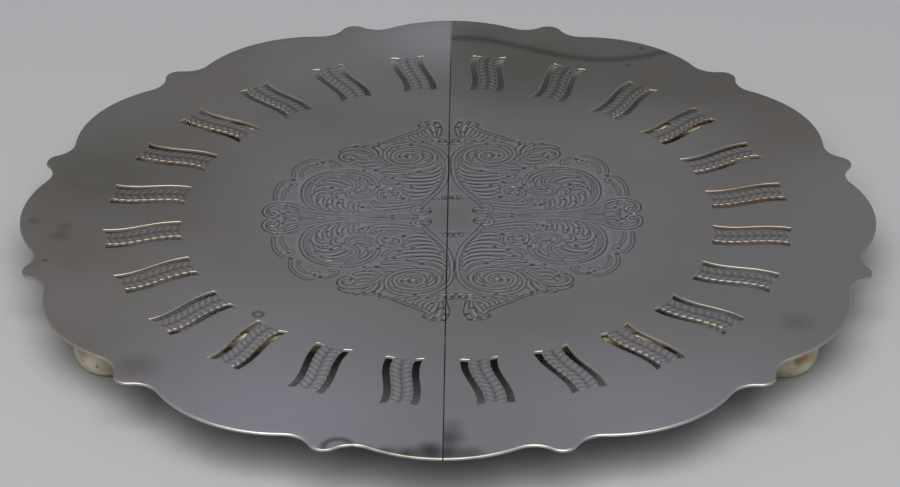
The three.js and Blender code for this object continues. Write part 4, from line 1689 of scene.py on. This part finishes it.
@dataclass
class SlideTube:
    """Drawn brass tube soldered below the top, with a bush in its mouth and a plug in its end."""

    side: Side
    row: Row
    brass: Material
    bush_brass: Material
    solder: Material
    radius: float = 3.5
    wall: float = 0.8
    running_gap: float = 0.1
    bush_depth: float = 8.0
    plug_depth: float = 4.0
    plug_chamfer: float = 0.4
    plug_corner: float = 0.2
    corner: float = 0.15
    sides: int = 64
    solder_reach: float = 2.3
    solder_crown: float = 1.2
    solder_bite: float = 0.25
    solder_margin: float = 0.3
    solder_taper: float = 1.5
    solder_ends: float = 0.4
    solder_swells: tuple = ((0.1, 0.9, 0.0), (0.07, 2.3, 1.0))
    solder_steps: tuple = (119, 6)

    def __post_init__(self) -> None:
        """Takes the places of the pieces from the frame, as they lie on the right half."""
        self.name = f"{self.side.value}_{self.row.value}"
        way = -1 if self.side.turned else 1
        self.spans = {}
        for piece in ("tube", "mouth_bush", "end_plug"):
            low, high = node_box(f"{self.name}_{piece}")
            self.spans[piece] = sorted((way * low[0], way * high[0]))
            _, y, self.z = (low + high) / 2
            self.y = way * y

    def place(self, across: Array, up: Array, along: Array) -> tuple:
        """Lays what is turned about an axis along X."""
        return along, self.y + across, self.z + up

    def turned(self, corners: list) -> Skin:
        """Turns a closed profile with rounded corners about the tube's axis."""
        return Skin().turn(rounded(corners, self.corner, True), self.sides, self.place, True)

    def solder_bed(self, underside: float) -> Skin:
        """Bead of solder between the tube and the top, with hollow flanks and an uneven edge.

        Across, its flank leaves the top at the bead's reach and comes in as the square of the
        share of the way down to the tube. The reach swells and shrinks by two sines of the
        place along it, each with its height, its pace and its start, and tapers at both ends.

        Args:
            underside: Height of the top's lower face.

        Returns:
            Its surface.
        """
        start, end = self.spans["tube"]
        rows, columns = self.solder_steps
        along = np.linspace(start + self.solder_margin, end - self.solder_margin, rows + 1)[:, None]
        swell = sum(height * np.sin(along * pace + at) for height, pace, at in self.solder_swells)
        reach = self.solder_reach * (1 + swell)
        for away in (along - start, end - along):
            reach = reach * np.minimum(1, self.solder_ends + away / self.solder_taper)
        share = np.linspace(0, 1, columns + 1)[None, :]
        crown = self.z + math.sqrt(self.radius ** 2 - self.solder_crown ** 2) - self.solder_bite
        flank = self.solder_crown + (reach - self.solder_crown) * (1 - share) ** 2
        height = underside + (crown - underside) * share
        skin = Skin()
        grid = skin.add(along, self.y + np.hstack([flank, -flank[:, ::-1]]),
                        np.hstack([height, height[:, ::-1]]))
        skin.cover(grid, flip=True, closed=True)
        skin.faces += [grid[:1], grid[-1:, ::-1]]
        return skin

    def build(self) -> None:
        """Makes the tube, its solder, the bush and the plug."""
        radius, bore = self.radius, self.radius - self.wall
        spigot = bore - self.running_gap
        start, end = self.spans["tube"]
        tube = self.turned([(radius, end), (radius, start), (bore, start), (bore, end)])
        solder = self.solder_bed(node_box("right_plate")[0][2])
        start, end = self.spans["mouth_bush"]
        low, high = node_box("front_rod")
        hole, flange = (high[2] - low[2]) / 2 + self.running_gap, end - self.bush_depth
        bush = self.turned([(spigot, end), (spigot, flange), (radius, flange), (radius, start),
                            (hole, start), (hole, end)])
        start, end = self.spans["end_plug"]
        shoulder, edge = start + self.plug_depth + self.running_gap, self.plug_chamfer
        plug = Skin().turn(rounded([
            (0, end), (radius - edge, end), (radius, end - edge), (radius, shoulder),
            (spigot, shoulder), (spigot, start), (0, start)], self.plug_corner), self.sides,
            self.place)
        for skin, label, finish, node, slot in (
            (tube, "slide_tube", self.brass, "tube", "tube_brass"),
            (solder, "solder", self.solder, None, "tube_brass"),
            (bush, "bush", self.bush_brass, "mouth_bush", "bush_brass"),
            (plug, "plug", self.bush_brass, "end_plug", "bush_brass"),
        ):
            show(skin, f"{self.name}_{label}", finish, f"{self.side.value}_half",
                 node and f"{self.name}_{node}", slot, self.side.turned)


@dataclass
class SlideRod:
    """Nickel silver rod with a stop head on the neck at each of its ends."""

    row: Row
    finish: Material
    neck_radius: float = 1.2
    peen_radius: float = 1.7
    peen_depth: float = 0.6
    running_gap: float = 0.1
    rod_corner: float = 0.25
    head_corner: float = 0.3
    sides: int = 64

    def build(self) -> None:
        """Makes the rod and its heads."""
        body = f"{self.row.value}_rod"
        low, high = node_box(body)
        _, y, z = (low + high) / 2
        half, radius = high[0], (high[2] - low[2]) / 2
        heads = {side: node_box(f"{body}_{side}_head") for side in ("left", "right")}
        shoulder = heads["right"][0][0] - self.running_gap
        neck, peen = self.neck_radius, half - self.peen_depth

        def place(across: Array, up: Array, along: Array) -> tuple:
            """Lays what is turned about an axis along X."""
            return along, y + across, z + up

        outer = [(0, half), (self.peen_radius, half), (self.peen_radius, peen), (neck, peen),
                 (neck, shoulder), (radius, shoulder)]
        profile = rounded(outer + [(r, -a) for r, a in outer[::-1]], self.rod_corner)
        rod = Skin().turn(profile, self.sides, place)
        show(rod, f"{body}_turned", self.finish, body, body, "rod_nickel_silver")
        for side, (low, high) in heads.items():
            bore, edge = neck + self.running_gap, (high[2] - low[2]) / 2
            profile = rounded([(edge, high[0]), (edge, low[0]), (bore, low[0]), (bore, high[0])],
                              self.head_corner, loop=True)
            head = Skin().turn(profile, self.sides, place, loop=True)
            show(head, f"{body}_{side}_stop", self.finish, body, f"{body}_{side}_head",
                 "rod_nickel_silver")


# ----------------------------------------------------------------------- feet


@dataclass
class BunFoot:
    """Turned casein foot with the boss above it and the screw that holds it there."""

    side: Side
    row: Row
    casein: Material
    brass: Material
    steel: Material
    base_radius: float = 5.6
    top_radius: float = 6.6
    belly_share: float = 0.58
    well_radius: float = 3.1
    well_room: float = 0.3
    bore_radius: float = 1.8
    boss_depth: float = 3.2
    screw_radius: float = 1.5
    screw_point: float = 0.5
    head_height: float = 1.8
    head_chamfer: tuple = (0.2, 0.25)
    slot_width: float = 0.7
    slot_depth: float = 0.8
    slot_blend: float = 0.12
    tip_radius: float = 0.01
    bun_corner: float = 0.3
    boss_corner: float = 0.2
    screw_corner: float = 0.15
    belly_steps: int = 14
    face_cells: int = 20
    sides: int = 80

    def __post_init__(self) -> None:
        """Takes the foot's place from the frame."""
        self.name = f"{self.side.value}_{self.row.value}_foot"
        self.low, self.high = node_box(self.name)
        self.x, self.y, _ = (self.low + self.high) / 2

    def place(self, across: Array, up: Array, along: Array) -> tuple:
        """Stands what is turned about an axis upright."""
        return self.x + across, self.y + up, along

    def bun(self, well_top: float) -> Skin:
        """Foot with a quarter of an ellipse above its belly and one below, and a stepped bore.

        Args:
            well_top: Height of the top of the well that the screw's head sits in.

        Returns:
            Its surface.
        """
        radius, height = (self.high[0] - self.low[0]) / 2, self.high[2]
        belly = self.belly_share * height
        turn = np.linspace(0, math.pi / 2, self.belly_steps + 1)
        top, base, bore = self.top_radius, self.base_radius, self.bore_radius
        upper = np.column_stack([top + (radius - top) * np.sin(turn),
                                 belly + (height - belly) * np.cos(turn)])
        lower = np.column_stack([base + (radius - base) * np.cos(turn), belly * (1 - np.sin(turn))])
        hole = rounded([(base, 0), (self.well_radius, 0), (self.well_radius, well_top),
                        (bore, well_top), (bore, height), (top, height)], self.bun_corner)
        return Skin().turn(np.vstack([upper, lower[1:], hole[1:-1]]), self.sides, self.place, True)

    def boss(self) -> Skin:
        """Boss with a blind bore from below.

        Returns:
            Its surface.
        """
        low, high = node_box(f"{self.name}_boss")
        radius, deep = (high[0] - low[0]) / 2, low[2] + self.boss_depth
        return Skin().turn(rounded([
            (0, high[2]), (radius, high[2]), (radius, low[2]), (self.bore_radius, low[2]),
            (self.bore_radius, deep), (0, deep)], self.boss_corner), self.sides, self.place)

    def screw(self, low: Array, high: Array) -> Skin:
        """Screw whose face is a disc with a slot sunk in it, blended over the slot's edges.

        Args:
            low: Lowest corner of its box.
            high: Highest corner of its box.

        Returns:
            Its surface.
        """
        radius, cells, neck = (high[0] - low[0]) / 2, self.face_cells, self.screw_radius
        inset, bevel = self.head_chamfer
        side = np.linspace(-1, 1, 2 * cells + 1)
        x, y = (place * (radius - inset) for place in on_disc(side[:, None], side[None, :]))
        into_slot = (self.slot_width + self.slot_blend) / 2 - np.abs(y)
        sunk = self.slot_depth * fade(into_slot / self.slot_blend)
        skin = Skin()
        face = skin.add(self.x + x, self.y + y, low[2] + sunk)
        skin.cover(face, flip=True)
        loop = np.concatenate([face[-1, cells:], face[-2::-1, -1], face[0, -2::-1], face[1:, 0],
                               face[-1, 1:cells]])
        angle = np.arange(len(loop)) * FULL_TURN / len(loop)
        under_head = low[2] + self.head_height
        shank = rounded([
            (radius - inset, low[2]), (radius, low[2] + bevel), (radius, under_head),
            (neck, under_head), (neck, high[2] - self.screw_point),
            (neck - self.screw_point, high[2]), (self.tip_radius, high[2])],
            self.screw_corner)[1:]
        shell = skin.add(self.x + shank[:, :1] * np.cos(angle),
                         self.y + shank[:, :1] * np.sin(angle), shank[:, 1:])
        skin.cover(np.vstack([loop[None], shell]), flip=True, closed=True)
        skin.faces.append(shell[-1:])
        return skin

    def build(self) -> None:
        """Makes the foot, the boss and the screw."""
        body = f"{self.side.value}_half"
        low, high = node_box(f"{self.name}_screw")
        bun = self.bun(low[2] + self.head_height + self.well_room)
        show(bun, f"{self.name}_bun", self.casein, body, self.name, "foot_casein")
        show(self.boss(), f"{self.name}_boss_turned", self.brass, body, f"{self.name}_boss",
             "bush_brass")
        show(self.screw(low, high), f"{self.name}_screw_turned", self.steel, body,
             f"{self.name}_screw", "screw_steel")


# --------------------------------------------------------------------- studio


@dataclass
class Studio:
    """Pale floor, soft light from above and the camera of the photograph, in millimetres."""

    paper: Material
    lens: float = 132.4
    sensor: float = 36.0
    sight: float = 20000.0
    eye: tuple = (9.6, -800.8, 486.5)
    aim: tuple = (0.81, -15.8, 16.0)
    roll: float = -0.20
    floor_size: float = 6000.0
    floor_cells: int = 40
    floor_flat: float = 2000.0
    floor_ramp: float = 1000.0
    floor_rise: float = 40.0
    lamp_place: tuple = (-50, -760, 1235)
    lamp_size: float = 1450.0
    lamp_watts: float = 30.0
    lamp_colour: str = "fffdf8"
    air: str = "8e8f91"
    low_air: str = "55535f"
    low_air_end: float = 0.4

    def floor(self) -> None:
        """Lays the floor, a sheet that rises a little towards its far edges."""
        side = np.linspace(-0.5, 0.5, self.floor_cells + 1) * self.floor_size
        x, y = np.meshgrid(side, side, indexing="ij")
        rise = self.floor_rise * fade((np.hypot(x, y) - self.floor_flat) / self.floor_ramp)
        skin = Skin()
        skin.cover(skin.add(x, y, rise))
        skin.build("floor", self.paper)

    def lamp(self) -> None:
        """Hangs a square soft lamp that shines at the object."""
        light = bpy.data.lights.new("overhead", "AREA")
        light.shape = "SQUARE"
        light.size = self.lamp_size * MM
        light.energy = self.lamp_watts
        light.color = srgb(self.lamp_colour)[:3]
        lamp = bpy.data.objects.new("overhead", light)
        bpy.context.scene.collection.objects.link(lamp)
        at = Vector(self.lamp_place) * MM
        turn = (-at).to_track_quat("-Z", "Y").to_matrix().to_4x4()
        lamp.matrix_world = Matrix.Translation(at) @ turn

    def air_light(self) -> None:
        """Lights the object all round, with a darker air near the floor."""
        world = bpy.data.worlds.new("studio")
        world.use_nodes = True
        tree = world.node_tree
        way = add_node(tree, "TexCoord", "Object")
        up = add_node(tree, "SeparateXYZ", "Z", {0: way})
        share = add_node(tree, "MapRange", "Result", {"Value": up, "From Max": self.low_air_end})
        tone = add_node(tree, "Mix", 2, {0: share, 6: self.low_air, 7: self.air},
                        data_type="RGBA")
        feed(tree, tree.nodes["Background"], {"Color": tone})
        bpy.context.scene.world = world

    def camera(self) -> None:
        """Sets up the camera, which looks from the eye to the aim and is turned by the roll."""
        eye, aim = Vector(self.eye) * MM, Vector(self.aim) * MM
        ahead = (aim - eye).normalized()
        level = ahead.cross(Vector((0, 0, 1))).normalized()
        upright = level.cross(ahead)
        cos, sin = math.cos(math.radians(self.roll)), math.sin(math.radians(self.roll))
        right, up = level * cos + upright * sin, upright * cos - level * sin
        data = bpy.data.cameras.new("camera")
        data.lens, data.sensor_width = self.lens, self.sensor
        data.clip_end = self.sight * MM
        camera = bpy.data.objects.new("camera", data)
        turn = Matrix((right, up, -ahead)).transposed().to_4x4()
        camera.matrix_world = Matrix.Translation(eye) @ turn
        bpy.context.scene.collection.objects.link(camera)
        bpy.context.scene.camera = camera

    def build(self) -> None:
        """Sets up the studio."""
        self.floor()
        self.lamp()
        self.air_light()
        self.camera()
        bpy.context.scene.view_settings.view_transform = "Standard"


def main() -> None:
    """Builds every piece in order."""
    logging.basicConfig(level=logging.INFO, format="%(name)s: %(message)s")
    silver = SilverPlate().make()
    brass = TurnedMetal("drawn_brass", "aea58a", "665542", 0.46).make()
    bush_brass = TurnedMetal("turned_brass", "c9a862", "86693a", 0.28).make()
    nickel = TurnedMetal("drawn_nickel_silver", "bdb8ac", "8d877a", 0.26).make()
    solder = TurnedMetal("soft_solder", "8f8f8c", "5e5c58", 0.5).make()
    steel = TurnedMetal("turned_steel", "8f8b84", "5b4c3f", 0.42).make()
    casein = StainedCasein().make()
    engraving = Engraving()
    engraving.carve()
    for side in Side:
        TopHalf(side, silver, engraving).build()
        for row in Row:
            SlideTube(side, row, brass, bush_brass, solder).build()
            BunFoot(side, row, casein, brass, steel).build()
    for row in Row:
        SlideRod(row, nickel).build()
    Studio(MattPaper().make()).build()


if __name__ == "__main__":
    main()
